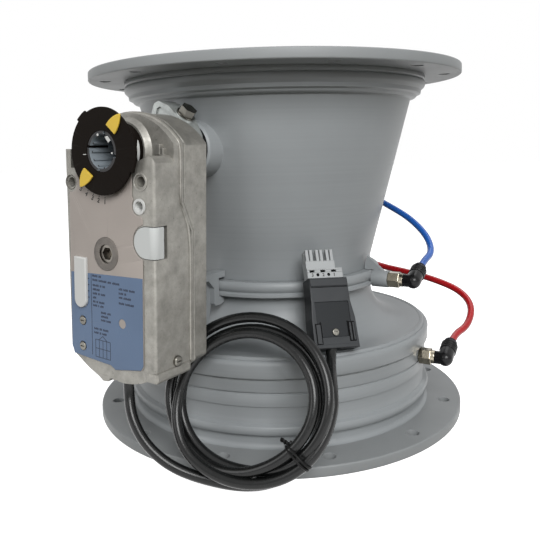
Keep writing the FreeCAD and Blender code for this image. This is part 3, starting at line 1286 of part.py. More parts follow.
def actuator_cable():
    """Lead from the foot of the actuator down to the floor and into the coil."""
    start = in_actuator_frame(GROMMET_X, GROMMET_OUT, GROMMET_LOW)
    below = in_actuator_frame(GROMMET_X, GROMMET_OUT, GROMMET_LOW - 13)
    route = [start, below, V(-102, -158, 45), V(-93, -163, 29), V(-77, -167, 15.5), V(-56, -170.5, 6)]
    return cord(route, CABLE_RADIUS, "actuator_cable")


def coil_frame():
    """Axis, upward direction in its plane and centre of the leaning coil."""
    axis = V(COIL_SKEW, -1, COIL_LEAN).normalize()
    level = V(1, COIL_SKEW, 0).normalize()
    rise = level.cross(axis)
    if rise.z < 0:
        rise = rise.multiply(-1)
    foot = COIL_HALF_THICKNESS * abs(axis.z)
    centre_z = COIL_OUTER * rise.z + foot + FLOOR_GAP
    centre_y = COIL_FRONT_Y + COIL_LEAN * (centre_z - 4)
    return axis, rise, V(COIL_X, centre_y, centre_z)


def cable_coil():
    """Three and a third turns of the lead, as one ring that leans on the rim."""
    axis, rise, centre = coil_frame()
    half = COIL_HALF_THICKNESS
    ease = 3.0
    ring = revolved([
        (COIL_INNER, -half + ease), (COIL_INNER + ease, -half), (COIL_OUTER - ease, -half),
        (COIL_OUTER, -half + ease), (COIL_OUTER, half - ease), (COIL_OUTER - ease, half),
        (COIL_INNER + ease, half), (COIL_INNER, half - ease)])
    ring.Placement = FreeCAD.Placement(centre, FreeCAD.Rotation(UP, axis))
    return ring


def cable_tie():
    """Wire tie round the coil's lower right side."""
    axis, rise, centre = coil_frame()
    level = rise.cross(axis).normalize()
    if level.x < 0:
        level = level.multiply(-1)
    angle = math.radians(-44)
    way = V(level).multiply(math.cos(angle)).add(V(rise).multiply(math.sin(angle)))
    middle = (COIL_OUTER + COIL_INNER) / 2
    span = (COIL_OUTER - COIL_INNER) / 2 + 0.1
    half = COIL_HALF_THICKNESS + 0.1
    band = 1.6
    outer = Part.makeBox(2 * (span + band), 2 * (half + band), 3.0, V(-span - band, -half - band, -1.5))
    hole = Part.makeBox(2 * span, 2 * half, 3.0, V(-span, -half, -1.5))
    loop = outer.cut(hole)
    tail = Part.makeCylinder(1.4, 10, V(-span - 4, -half - band - 0.5, 0), V(-1, -0.5, 0))
    loop = loop.fuse([tail, Part.makeBox(8, 1.5, 3.0, V(-span - 5, -half - band - 1.2, -1.5))]).removeSplitter()
    along = way.cross(axis)
    matrix = FreeCAD.Matrix(way.x, -axis.x, along.x, 0, way.y, -axis.y, along.y, 0,
                            way.z, -axis.z, along.z, 0, 0, 0, 0, 1)
    turn = FreeCAD.Placement(matrix).Rotation
    loop.Placement = FreeCAD.Placement(centre.add(V(way).multiply(middle)), turn)
    return loop


# Plug that leans on the casing: built upright at the origin, back face on the XZ plane

def plug_placement():
    """Foot on the casing's rim, head against the cone, turned a little to the side."""
    lean = FreeCAD.Rotation(V(1, 0, 0), -PLUG_LEAN)
    roll = FreeCAD.Rotation(V(0, 1, 0), PLUG_ROLL)
    around = FreeCAD.Rotation(UP, PLUG_AZIMUTH)
    foot = azimuth_direction(PLUG_AZIMUTH).multiply(PLUG_FOOT_RADIUS)
    foot.z = SHOULDER_Z + 1.4
    return FreeCAD.Placement(foot, around.multiply(lean).multiply(roll))


def placed_plug(shape):
    copy = shape.copy()
    copy.Placement = plug_placement().multiply(shape.Placement)
    return copy


def plug_box(x_low, x_high, y_front, y_back, z_low, z_high):
    """Box in the plug's frame; depths are measured forwards from its back face."""
    return Part.makeBox(x_high - x_low, y_front - y_back, z_high - z_low, V(x_low, -y_front, z_low))


def strain_relief_housing():
    """Waisted shell that grips the cable, with a window for the cover plate."""
    half = PLUG_WIDTH / 2
    points = [(-half - 1, 0), (half + 1, 0), (half + 0.6, 22), (half - 1.4, 34), (half - 1.6, PLUG_LENGTH),
              (-half + 1.2, PLUG_LENGTH), (-half + 0.6, 34), (-half - 0.6, 22)]
    body = plate_xz(points, -PLUG_DEPTH, 0)
    body = body.makeFillet(1.0, [e for e in body.Edges if abs(e.CenterOfMass.y + PLUG_DEPTH) < 0.01])
    window = plug_box(-half + 3, half - 3.5, PLUG_DEPTH + 1, PLUG_DEPTH - COVER_DEPTH - WELD_GAP, 8, 34)
    room = plug_box(-half + 4, half - 4, PLUG_DEPTH - 4, 2.5, 5, PLUG_LENGTH - 3)
    mouth = Part.makeCylinder(CABLE_RADIUS + 0.05, 8, V(0, -PLUG_MOUTH, -1))
    screw_way = Part.makeCylinder(1.3, 8, V(COVER_SCREW[0], -PLUG_DEPTH, COVER_SCREW[1]), V(0, 1, 0))
    return placed_plug(body.cut([window, room, mouth, screw_way]))


COVER_DEPTH = 2.0
COVER_SCREW = (0.0, 11.5)


def strain_relief_cover():
    """Dark cover plate with a latch slot on each side."""
    half = PLUG_WIDTH / 2
    gap = 0.1
    plate = plug_box(-half + 3 + gap, half - 3.5 - gap, PLUG_DEPTH - 0.4, PLUG_DEPTH - COVER_DEPTH, 8 + gap, 34 - gap)
    slots = [plug_box(-half + 5, -half + 6.4, PLUG_DEPTH + 1, 0, 8, 19), plug_box(half - 7, half - 5.6, PLUG_DEPTH + 1, 0, 8, 19),
             Part.makeCylinder(1.3, 20, V(COVER_SCREW[0], -PLUG_DEPTH - 1, COVER_SCREW[1]), V(0, 1, 0))]
    return placed_plug(plate.cut(slots))


def cover_screw():
    head = screw(2.6, 1.3, 1.2, 5.0)
    return placed_plug(moved(head, COVER_SCREW[0], -(PLUG_DEPTH - 0.4), COVER_SCREW[1]))


def connector_body():
    """Three-pole socket connector: stepped body, wire slots and split contact fingers."""
    half = PLUG_WIDTH / 2
    back = PLUG_DEPTH - CONNECTOR_DEPTH - 1
    front = PLUG_DEPTH - 1
    low = PLUG_LENGTH + WELD_GAP
    base = plug_box(-half + 1, half - 4, front, back, low, low + CONNECTOR_BASE)
    head = plug_box(-half + 1, half - 9, front - 0.8, back, low + CONNECTOR_BASE, low + CONNECTOR_LENGTH)
    body = base.fuse(head).removeSplitter()
    pitch = (PLUG_WIDTH - 10) / 3
    for pole in range(3):
        left = -half + 2.2 + pole * pitch
        top = low + CONNECTOR_LENGTH
        body = body.cut(plug_box(left + 0.6, left + 1.4, front + 1, back - 1, top - 9, top + 1))
        body = body.cut(plug_box(left + 2.9, left + 3.5, front + 1, back - 1, top - 7, top + 1))
        body = body.cut(plug_box(left + 0.4, left + 3.6, front + 1, front - 3, low + 4.6, low + 6.6))
    for pole in range(2):
        centre = -half + 6.9 + pole * pitch
        body = body.cut(Part.makeCylinder(1.1, 4, V(centre, -front - 1, low + 2.6), V(0, 1, 0)))
    return placed_plug(body)


def plug_cable():
    """Lead from the coil's right-hand side up into the plug."""
    placement = plug_placement()
    mouth = placement.multVec(V(0, -PLUG_MOUTH, 6))
    below = placement.multVec(V(0, -PLUG_MOUTH, -3))
    route = [V(35.5, -161.5, 38), V(38, -156, 54), V(38.5, -145, 70), below, mouth]
    return cord(route, CABLE_RADIUS, "plug_cable")


NODES = {
    "lower_flange": lambda: flange(0, LOWER_BOLT_TURN, LOWER_BOLT_HOLE),
    "inlet_casing": lambda: inlet_casing().cut(
        tap_hole_bore(INLET_TAP_AZIMUTH, INLET_TAP_Z, INLET_TAP_FACE)),
    "inlet_nozzle": inlet_nozzle,
    "pressure_ring": pressure_ring,
    "diffuser_casing": diffuser_casing,
    "upper_flange": lambda: flange(UPPER_FLANGE_Z, UPPER_BOLT_TURN, UPPER_BOLT_HOLE),
    "drive_bearing_bush": drive_bearing_bush,
    "far_bearing_bush": far_bearing_bush,
    "far_end_cap": far_end_cap,
    "support_bracket": support_bracket,
    "throat_tap_boss": throat_tap_boss,
    "throat_tap_fitting": throat_tap_fitting,
    "inlet_tap_fitting": inlet_tap_fitting,
    "throat_elbow": lambda: at_tap(elbow(THROAT_TAP_FACE), THROAT_TAP_AZIMUTH, THROAT_TAP_Z),
    "inlet_elbow": lambda: at_tap(elbow(INLET_TAP_FACE), INLET_TAP_AZIMUTH, INLET_TAP_Z),
    "throat_collet": lambda: at_tap(collet(THROAT_TAP_FACE), THROAT_TAP_AZIMUTH, THROAT_TAP_Z),
    "inlet_collet": lambda: at_tap(collet(INLET_TAP_FACE), INLET_TAP_AZIMUTH, INLET_TAP_Z),
    "blue_hose": blue_hose,
    "red_hose": red_hose,
    "sensor_bracket": sensor_bracket,
    "sensor_housing": sensor_housing,
    "sensor_cover": sensor_cover,
    "sensor_nozzles": sensor_nozzles,
    "front_housing": front_housing,
    "rear_housing": rear_housing,
    "front_plate": front_plate,
    "type_label": type_label,
    "side_clip": side_clip,
    "housing_screws": housing_screws,
    "ear_bush": ear_bush,
    "release_button": release_button,
    "cable_grommet": cable_grommet,
    "drive_motor": drive_motor,
    "circuit_board": circuit_board,
    "gear_plate": gear_plate,
    "gear_spindle": gear_spindle,
    "intermediate_gear": intermediate_gear,
    "manual_gear": manual_gear,
    "motor_rotor": motor_rotor,
    "sector_gear": sector_gear,
    "blade_shaft": blade_shaft,
    "blade_upper_plate": lambda: blade_plate(1),
    "blade_lower_plate": lambda: blade_plate(-1),
    "blade_seal": blade_seal,
    "blade_screws": blade_screws,
    "output_hub": output_hub,
    "shaft_adapter": shaft_adapter,
    "indicator_disc": indicator_disc,
    "pointer_arrows": pointer_arrows,
    "clamp_block": clamp_block,
    "clamp_bolt": clamp_bolt,
    "actuator_cable": actuator_cable,
    "cable_coil": cable_coil,
    "cable_tie": cable_tie,
    "plug_cable": plug_cable,
    "strain_relief_housing": strain_relief_housing,
    "strain_relief_cover": strain_relief_cover,
    "cover_screw": cover_screw,
    "connector_body": connector_body,
}


def tap_hole_bore(azimuth, z, face):
    """Threaded way for a fitting's spigot in a wall."""
    way = azimuth_direction(azimuth)
    start = V(way).multiply(face - SPIGOT_LENGTH - 4)
    start.z = z
    return Part.makeCylinder(SPIGOT_RADIUS + 0.1, SPIGOT_LENGTH + 10, start, way)


os.makedirs("parts", exist_ok=True)
for name, make in NODES.items():
    shape = make()
    if not shape.isValid() or not shape.Solids:
        print("CHECK", name, "valid", shape.isValid(), "solids", len(shape.Solids))
    shape.exportStep("parts/%s.step" % name)
print(len(NODES), "nodes")
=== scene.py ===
import math

import bmesh
import bpy
from mathutils import Matrix, Vector


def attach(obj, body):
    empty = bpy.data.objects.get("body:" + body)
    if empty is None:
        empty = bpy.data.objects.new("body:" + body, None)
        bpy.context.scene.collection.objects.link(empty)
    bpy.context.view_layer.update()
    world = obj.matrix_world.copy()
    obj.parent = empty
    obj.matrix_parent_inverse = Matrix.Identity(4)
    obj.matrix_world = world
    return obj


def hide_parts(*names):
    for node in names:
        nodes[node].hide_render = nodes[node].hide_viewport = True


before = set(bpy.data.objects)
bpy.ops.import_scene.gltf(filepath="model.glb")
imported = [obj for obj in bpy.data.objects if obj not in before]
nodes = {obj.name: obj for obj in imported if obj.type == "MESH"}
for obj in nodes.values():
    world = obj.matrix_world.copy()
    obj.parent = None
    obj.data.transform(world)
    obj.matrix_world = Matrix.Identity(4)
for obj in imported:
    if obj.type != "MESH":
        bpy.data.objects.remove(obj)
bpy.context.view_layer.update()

# Shaft and actuator, in degrees and millimetres as in the CAD model
SHAFT_AZIMUTH = math.radians(32.8)
SHAFT_HEIGHT = 226.8
ACT_TILT = math.radians(2.1)
ACT_FRONT = 200.0
PLATE_FACE = ACT_FRONT + 0.6
LABEL_FACE = PLATE_FACE + 0.3
HALF_WIDTH = 40.8
OUTWARD = Vector((-math.sin(SHAFT_AZIMUTH), -math.cos(SHAFT_AZIMUTH), 0))

# Rims on the actuator's front: x, z, inner and outer radius
EAR_RIMS = {
    "right_ear_rim": (28.8, -18.5, 4.7, 6.2),
    "left_ear_rim": (-35.7, -21.7, 4.6, 5.1),
}
SOCKET_RIM = (-2.0, -67.4, 6.2, 11.3)

# Bead along the housing's seam: its arch (x, z, radius and first and last angle), its distance out from
# the duct axis, how far it steps back at the sides, and the heights between which it does
ARCH = (-1.0, -28.9, 53.9)
ARCH_ANGLES = (39, 141)
SEAM_WIRE = 0.0022
SEAM_OUT = 175.6
SEAM_STEP = 9.5
SEAM_JOG = (-33.0, -52.0)

# Position scale: centres of the digits beside the disc
DIGIT_PLACES = ((-25.2, -25.9), (-19.9, -28.9), (-14.1, -31.2), (-8.4, -32.5), (-2.3, -33.1))

# Pressure taps: distance from the duct axis, azimuth and height
THROAT_TAP = (105.0, 62.0, 115.0)
INLET_TAP = (130.4, 63.0, 53.0)
SOCKET_LIFT = math.radians(21)
ELBOW_REACH = 20.5

# Hoses and lead: diameters in metres, the rest in millimetres
HOSE_DIAMETER = 0.006
HOSE_INSERT = 10.0
HOSE_LEAD = 21.5
SENSOR_PORT = (34.1, 121.0)
CABLE_DIAMETER = 0.0074

# Coil of the actuator's lead, with stations of angle, radius and depth that are given one by one
COIL_CENTRE_X = -21.5
COIL_OUTER = 58.5
COIL_HALF_THICKNESS = 6.5
COIL_LEAN = 0.45
COIL_SKEW = -0.32
COIL_WIDENING = 1.09
COIL_FRONT_Y = -180.0
COIL_FOOT_Z = 4.0
FLOOR_GAP = 0.3
TURN_POINTS = 16
COIL_STATIONS = (
    (-90, 55.5, -4.5), (0, 47, -4.5), (200, 48, -4.2), (270, 46, -5), (315, 49.5, 1.2),
    (360, 51.5, 3), (450, 55, 0.6), (540, 54.5, 0.4), (585, 52, -1.9), (675, 43.3, 5.7),
    (860, 43.3, 3.8), (900, 45.3, 4.3), (945, 52.3, 5.7), (1035, 54.5, 2.2), (1080, 52.5, -4.5),
)

# Wire tie: angle, radius and depth in the coil; then in metres its wire, the half sizes of a turn, the
# spread of the turns, and where the twisted ends start and how far each of their points rises
TIE_PLACE = (-42, 48.6, 3.5)
TIE_WIRE = 0.0016
TIE_HALF_WIDTH = 0.0103
TIE_HALF_DEPTH = 0.0068
TIE_SPREAD = 0.0045
TWIST_START = 0.0098
TWIST_RISE = 0.0009
TWIST_POINTS = 8
TWIST_TURN = 1.1

# Plug: y runs from its front to its back and z along it, from a foot that is given by its distance from
# the duct axis and its height
PLUG_AZIMUTH = math.radians(18.0)
PLUG_LEAN = math.radians(-25.0)
PLUG_ROLL = math.radians(2.4)
PLUG_FOOT = (124.0, 76.4)
PLUG_FRONT = -14.0
PLUG_TOP = 52.05

# Connector on the plug: foot with slots at the poles, and contacts of two prongs each
FOOT_SIDES = (-15.5, 12.5)
FOOT_FRONT = -13.0
FOOT_BACK = -4.0
FOOT_TOP = PLUG_TOP + 7.5
SLOT_LOW = PLUG_TOP + 4.4
SLOT_HIGH = PLUG_TOP + 6.2
SLOT_HALF = 1.9
POLES = [-11.6 + 8.6 * pole for pole in range(3)]
CONTACTS = [-12.1 + 8.1 * contact for contact in range(3)]
PRONG_OFFSET = 1.65
PRONG_HALF = 1.15
PRONG_FOOT = FOOT_TOP + 5.5

# Softened edges, in metres, and what counts as a sharp one
EDGE = 0.0004
CAST_EDGE = 0.0008
SHARP_ANGLE = math.radians(35)
WELD_GAP = 0.000002

# Studio: world strength, lamps (place, aim, size and power), and the floor
WORLD_LIGHT = 0.25
LAMPS = {
    "key": ((0.3, -1.4, 1.0), (0, 0, 0.13), (0.9, 0.7), 24),
    "side": ((-1.3, -0.8, 0.8), (0, 0, 0.13), (0.7, 0.9), 5),
    "top": ((0.2, 0.5, 1.5), (0, 0, 0.1), (1.0, 1.0), 5),
}
FLOOR_SIZE = 12
FLOOR_LEVEL = -0.0005
FLOOR_BOUNCE = (0.11, 0.1, 0.08)
FLOOR_SHOWN = 0.92
FLOOR_GLOW = 0.9


def mm(*values):
    return Vector(values) / 1000


def new_object(name, data):
    obj = bpy.data.objects.new(name, data)
    bpy.context.scene.collection.objects.link(obj)
    return obj


def shaft_frame(tilted=True):
    """Local x to the right, y into the object, z up, from the point on the duct axis."""
    turn = Matrix.Rotation(-SHAFT_AZIMUTH, 4, "Z")
    if tilted:
        turn = turn @ Matrix.Rotation(ACT_TILT, 4, "Y")
    return Matrix.Translation((0, 0, SHAFT_HEIGHT / 1000)) @ turn


def on_actuator(x, out, z):
    return shaft_frame() @ mm(x, -out, z)


def facing_out(x, out, z):
    """Frame whose z axis points outwards at a place of the actuator."""
    return shaft_frame() @ Matrix.Translation(mm(x, -out, z)) @ Matrix.Rotation(math.radians(90), 4, "X")


def plug_frame():
    """The plug's own frame, as in the CAD model."""
    reach, height = PLUG_FOOT
    foot = mm(math.sin(PLUG_AZIMUTH) * reach, -math.cos(PLUG_AZIMUTH) * reach, height)
    turn = Matrix.Rotation(PLUG_AZIMUTH, 4, "Z") @ Matrix.Rotation(PLUG_LEAN, 4, "X")
    return Matrix.Translation(foot) @ turn @ Matrix.Rotation(PLUG_ROLL, 4, "Y")


def tap_frame(tap, reach):
    """Frame whose z axis runs along an elbow's hose socket, at a distance from the elbow's corner."""
    face, azimuth, z = tap
    turn = Matrix.Rotation(math.radians(azimuth - 90), 4, "Z")
    place = turn @ Matrix.Translation(mm(face + ELBOW_REACH, 0, z))
    tip = Matrix.Rotation(SOCKET_LIFT - math.radians(90), 4, "X")
    return place @ tip @ Matrix.Translation(mm(0, 0, reach))


# Camera and light

def add_camera():
    data = bpy.data.cameras.new("camera")
    data.lens = 43.63
    data.sensor_width = 36
    data.shift_x = 0.0183
    data.shift_y = -0.1256
    data.clip_start = 0.01
    camera = bpy.data.objects.new("camera", data)
    bpy.context.scene.collection.objects.link(camera)
    right = Vector((0.9995, 0.02267, -0.02232)).normalized()
    up = Vector((0.02028, 0.08639, 0.99605))
    up = (up - right * up.dot(right)).normalized()
    back = right.cross(up)
    turn = Matrix((right, up, back)).transposed().to_4x4()
    camera.matrix_world = Matrix.Translation((0, -0.5896, 0.2281)) @ turn
    bpy.context.scene.camera = camera


def area_light(name, place, target, size, power):
    data = bpy.data.lights.new(name, "AREA")
    data.shape = "RECTANGLE"
    data.size = size[0]
    data.size_y = size[1]
    data.energy = power
    light = new_object(name, data)
    light.location = place
    towards = Vector(target) - Vector(place)
    light.rotation_euler = towards.to_track_quat("-Z", "Y").to_euler()


def shown_rays(tree):
    """One for camera, glossy and transmission rays, which see the white backdrop."""
    path = tree.nodes.new("ShaderNodeLightPath")
    total = path.outputs["Is Camera Ray"]
    for name in ("Is Glossy Ray", "Is Transmission Ray"):
        node = tree.nodes.new("ShaderNodeMath")
        node.operation = "MAXIMUM"
        tree.links.new(total, node.inputs[0])
        tree.links.new(path.outputs[name], node.inputs[1])
        total = node.outputs[0]
    return total


def ray_value(tree, others, shown):
    """Value that differs between the rays that show the backdrop and the rest."""
    node = tree.nodes.new("ShaderNodeMapRange")
    node.inputs["To Min"].default_value = others
    node.inputs["To Max"].default_value = shown
    tree.links.new(shown_rays(tree), node.inputs["Value"])
    return node.outputs["Result"]


def add_studio():
    """World light, lamps and a floor that reads white."""
    scene = bpy.context.scene
    world = bpy.data.worlds.new("studio")
    scene.world = world
    world.use_nodes = True
    tree = world.node_tree
    background = tree.nodes["Background"]
    background.inputs["Color"].default_value = (1, 1, 1, 1)
    tree.links.new(ray_value(tree, WORLD_LIGHT, 1.0), background.inputs["Strength"])
    for name, lamp in LAMPS.items():
        area_light(name, *lamp)
    scene.view_settings.view_transform = "Standard"
    scene.view_settings.look = "None"
    bpy.ops.mesh.primitive_plane_add(size=FLOOR_SIZE, location=(0, 0, FLOOR_LEVEL))
    floor = bpy.context.object
    floor.name = "floor"
    floor.data.materials.append(floor_material())


def floor_material():
    """White floor that still takes a soft shadow and throws little light back up."""
    material = bpy.data.materials.new("floor_white")
    material.use_nodes = True
    tree = material.node_tree
    shader = tree.nodes["Principled BSDF"]
    shader.inputs["Roughness"].default_value = 0.9
    shader.inputs["Specular IOR Level"].default_value = 0.0
    tone = tree.nodes.new("ShaderNodeCombineColor")
    for socket, bounce in zip(("Red", "Green", "Blue"), FLOOR_BOUNCE):
        tree.links.new(ray_value(tree, bounce, FLOOR_SHOWN), tone.inputs[socket])
    tree.links.new(tone.outputs["Color"], shader.inputs["Base Color"])
    shader.inputs["Emission Color"].default_value = (1, 1, 1, 1)
    tree.links.new(ray_value(tree, 0.0, FLOOR_GLOW), shader.inputs["Emission Strength"])
    return material


# Materials

def srgb(r, g, b):
    def linear(c):
        c = c / 255
        return c / 12.92 if c <= 0.04045 else ((c + 0.055) / 1.055) ** 2.4
    return (linear(r), linear(g), linear(b), 1)


def scaled(colour, factor):
    return (colour[0] * factor, colour[1] * factor, colour[2] * factor, 1)


def grey(value):
    return (value, value, value, 1)


class Nodes:
    """Short names for the nodes of one material."""

    def __init__(self, name):
        self.material = bpy.data.materials.new(name)
        self.material.use_nodes = True
        self.tree = self.material.node_tree
        self.shader = self.tree.nodes["Principled BSDF"]
        self.place = self.tree.nodes.new("ShaderNodeTexCoord").outputs["Object"]

    def link(self, a, b):
        self.tree.links.new(a, b)

    def stretched(self, scale):
        node = self.tree.nodes.new("ShaderNodeMapping")
        node.inputs["Scale"].default_value = scale
        self.link(self.place, node.inputs["Vector"])
        return node.outputs["Vector"]

    def noise(self, scale, detail=3, rough=0.5, vector=None):
        node = self.tree.nodes.new("ShaderNodeTexNoise")
        node.inputs["Scale"].default_value = scale
        node.inputs["Detail"].default_value = detail
        node.inputs["Roughness"].default_value = rough
        self.link(vector or self.place, node.inputs["Vector"])
        return node.outputs["Fac"]

    def ramp(self, value, stops):
        node = self.tree.nodes.new("ShaderNodeValToRGB")
        node.color_ramp.elements[0].position = stops[0][0]
        node.color_ramp.elements[0].color = stops[0][1]
        node.color_ramp.elements[1].position = stops[-1][0]
        node.color_ramp.elements[1].color = stops[-1][1]
        for position, colour in stops[1:-1]:
            element = node.color_ramp.elements.new(position)
            element.color = colour
        self.link(value, node.inputs["Fac"])
        return node.outputs["Color"]

    def tint(self, scale, detail, colour, low, high):
        """The colour, cloudy between two strengths."""
        return self.ramp(self.noise(scale, detail), ((0.3, scaled(colour, low)), (0.7, scaled(colour, high))))

    def between(self, value, low, high):
        node = self.tree.nodes.new("ShaderNodeMapRange")
        node.inputs["To Min"].default_value = low
        node.inputs["To Max"].default_value = high
        self.link(value, node.inputs["Value"])
        return node.outputs["Result"]

    def times(self, a, b):
        node = self.tree.nodes.new("ShaderNodeMix")
        node.data_type = "RGBA"
        node.blend_type = "MULTIPLY"
        node.inputs["Factor"].default_value = 1.0
        self.link(a, node.inputs["A"])
        self.link(b, node.inputs["B"])
        return node.outputs["Result"]

    def facing(self, direction):
        """How far the surface's own normal points along a fixed direction."""
        normal = self.tree.nodes.new("ShaderNodeNewGeometry").outputs["Normal"]
        node = self.tree.nodes.new("ShaderNodeVectorMath")
        node.operation = "DOT_PRODUCT"
        node.inputs[1].default_value = direction
        self.link(normal, node.inputs[0])
        return node.outputs["Value"]

    def bump(self, height, distance, strength=0.3, below=None):
        node = self.tree.nodes.new("ShaderNodeBump")
        node.inputs["Strength"].default_value = strength
        node.inputs["Distance"].default_value = distance
        self.link(height, node.inputs["Height"])
        if below:
            self.link(below, node.inputs["Normal"])
        return node.outputs["Normal"]

    def set(self, **values):
        names = {"colour": "Base Color", "rough": "Roughness", "metal": "Metallic", "normal": "Normal",
                 "coat": "Coat Weight", "coat_rough": "Coat Roughness", "specular": "Specular IOR Level"}
        for key, value in values.items():
            socket = self.shader.inputs[names[key]]
            if hasattr(value, "node"):
                self.link(value, socket)
            else:
                socket.default_value = value
        return self.material


def moulded(name, colour, rough=0.5, spread=0.06, specular=0.4):
    """Moulded plastic: faint cloudiness, fine grain and slightly uneven gloss."""
    n = Nodes(name)
    tint = n.tint(14, 4, colour, 1 - spread, 1 + spread)
    gloss = n.between(n.noise(45, 3), rough - 0.06, rough + 0.08)
    fine = n.bump(n.noise(900, 2), 0.00004, 0.25)
    return n.set(colour=tint, rough=gloss, normal=fine, specular=specular)


def turned_plastic(name, colour, rough=0.4):
    """Large plastic turning: fine lines round the axis, cloudy tone, a few scuffs."""
    n = Nodes(name)
    tint = n.tint(9, 4, colour, 0.93, 1.07)
    lines = n.noise(1, 4, 0.7, n.stretched((3, 3, 420)))
    streak = n.ramp(lines, ((0.3, grey(0.97)), (0.65, grey(1.015))))
    scuff = n.noise(1, 5, 0.75, n.stretched((60, 60, 260)))
    mark = n.ramp(scuff, ((0.66, grey(1)), (0.8, grey(1.08))))
    gloss = n.between(lines, rough - 0.08, rough + 0.08)
    fine = n.bump(lines, 0.00005, 0.15)
    return n.set(colour=n.times(n.times(tint, streak), mark), rough=gloss, normal=fine, specular=0.3)


def die_cast(name, colour, rough=0.45):
    """Bare die casting: cloudy oxide, flow marks, dark pits and a grain that catches the light."""
    n = Nodes(name)
    clouds = n.noise(85, 7, 0.7)
    tint = n.ramp(clouds, ((0.3, scaled(colour, 0.7)), (0.5, colour), (0.7, scaled(colour, 1.3))))
    pitted = n.ramp(n.noise(540, 3, 0.6), ((0.25, (0.5, 0.49, 0.47, 1)), (0.34, grey(1))))
    flow = n.noise(1, 4, 0.6, n.stretched((50, 50, 300)))
    gloss = n.between(flow, rough - 0.16, rough + 0.16)
    pits = n.bump(n.noise(420, 5, 0.7), 0.0003, 0.4)
    grain = n.bump(n.noise(1500, 3), 0.0001, 0.35, pits)
    return n.set(colour=n.times(tint, pitted), rough=gloss, metal=0.45, specular=0.5, normal=grain)


def metal(name, colour, rough=0.3):
    """Machined or plated metal with a fine, uneven gloss."""
    n = Nodes(name)
    tint = n.tint(120, 4, colour, 0.78, 1.12)
    gloss = n.between(n.noise(260, 3), rough - 0.08, rough + 0.1)
    fine = n.bump(n.noise(700, 2), 0.00005, 0.25)
    return n.set(colour=tint, rough=gloss, metal=1.0, normal=fine)


def rubber(name, colour, rough=0.4, specular=0.35):
    n = Nodes(name)
    tint = n.tint(90, 4, colour, 0.8, 1.25)
    gloss = n.between(n.noise(300, 3), rough - 0.08, rough + 0.1)
    fine = n.bump(n.noise(1800, 2), 0.00004, 0.3)
    return n.set(colour=tint, rough=gloss, normal=fine, specular=specular)


def glossy(name, colour, rough=0.25):
    """Smooth plastic with a thin coat of gloss."""
    n = Nodes(name)
    tint = n.tint(40, 3, colour, 0.9, 1.1)
    gloss = n.between(n.noise(200, 3), rough - 0.05, rough + 0.08)
    return n.set(colour=tint, rough=gloss, coat=0.2, coat_rough=0.15, specular=0.4)


def foil(name, colour, rough=0.42):
    """Printed polyester foil with a fine emboss."""
    n = Nodes(name)
    tint = n.tint(25, 2, colour, 0.94, 1.05)
    fine = n.bump(n.noise(2600, 1), 0.00003, 0.35)
    gloss = n.between(n.noise(300, 2), rough - 0.04, rough + 0.06)
    return n.set(colour=tint, rough=gloss, normal=fine, specular=0.35)


def adapter_with_painted_shade(name, colour):
    """Grey adapter with painted shade on its outward end, which lies in the shade of the disc."""
    n = Nodes(name)
    tint = n.tint(60, 3, colour, 0.9, 1.1)
    # Painted shade: surfaces that face outwards are darkened nearly to black.
    end = n.ramp(n.facing(OUTWARD), ((0.55, grey(1)), (0.85, (0.07, 0.06, 0.06, 1))))
    gloss = n.between(n.noise(200, 3), 0.32, 0.45)
    return n.set(colour=n.times(tint, end), rough=gloss, specular=0.35)


def shaded_relief(name, colour):
    """Strain relief: dull grey front, with painted shade that makes it nearly black at the sides."""
    n = Nodes(name)
    tint = n.tint(60, 3, colour, 0.94, 1.06)
    # Painted shade: faces turned away from the plug's front are darkened nearly to black.
    front = n.facing(plug_frame().to_3x3() @ Vector((0, -1, 0)))
    side = n.ramp(front, ((0.3, (0.16, 0.16, 0.17, 1)), (0.6, grey(1))))
    gloss = n.between(n.noise(200, 3), 0.28, 0.4)
    return n.set(colour=n.times(tint, side), rough=gloss, specular=0.12)


materials = {}


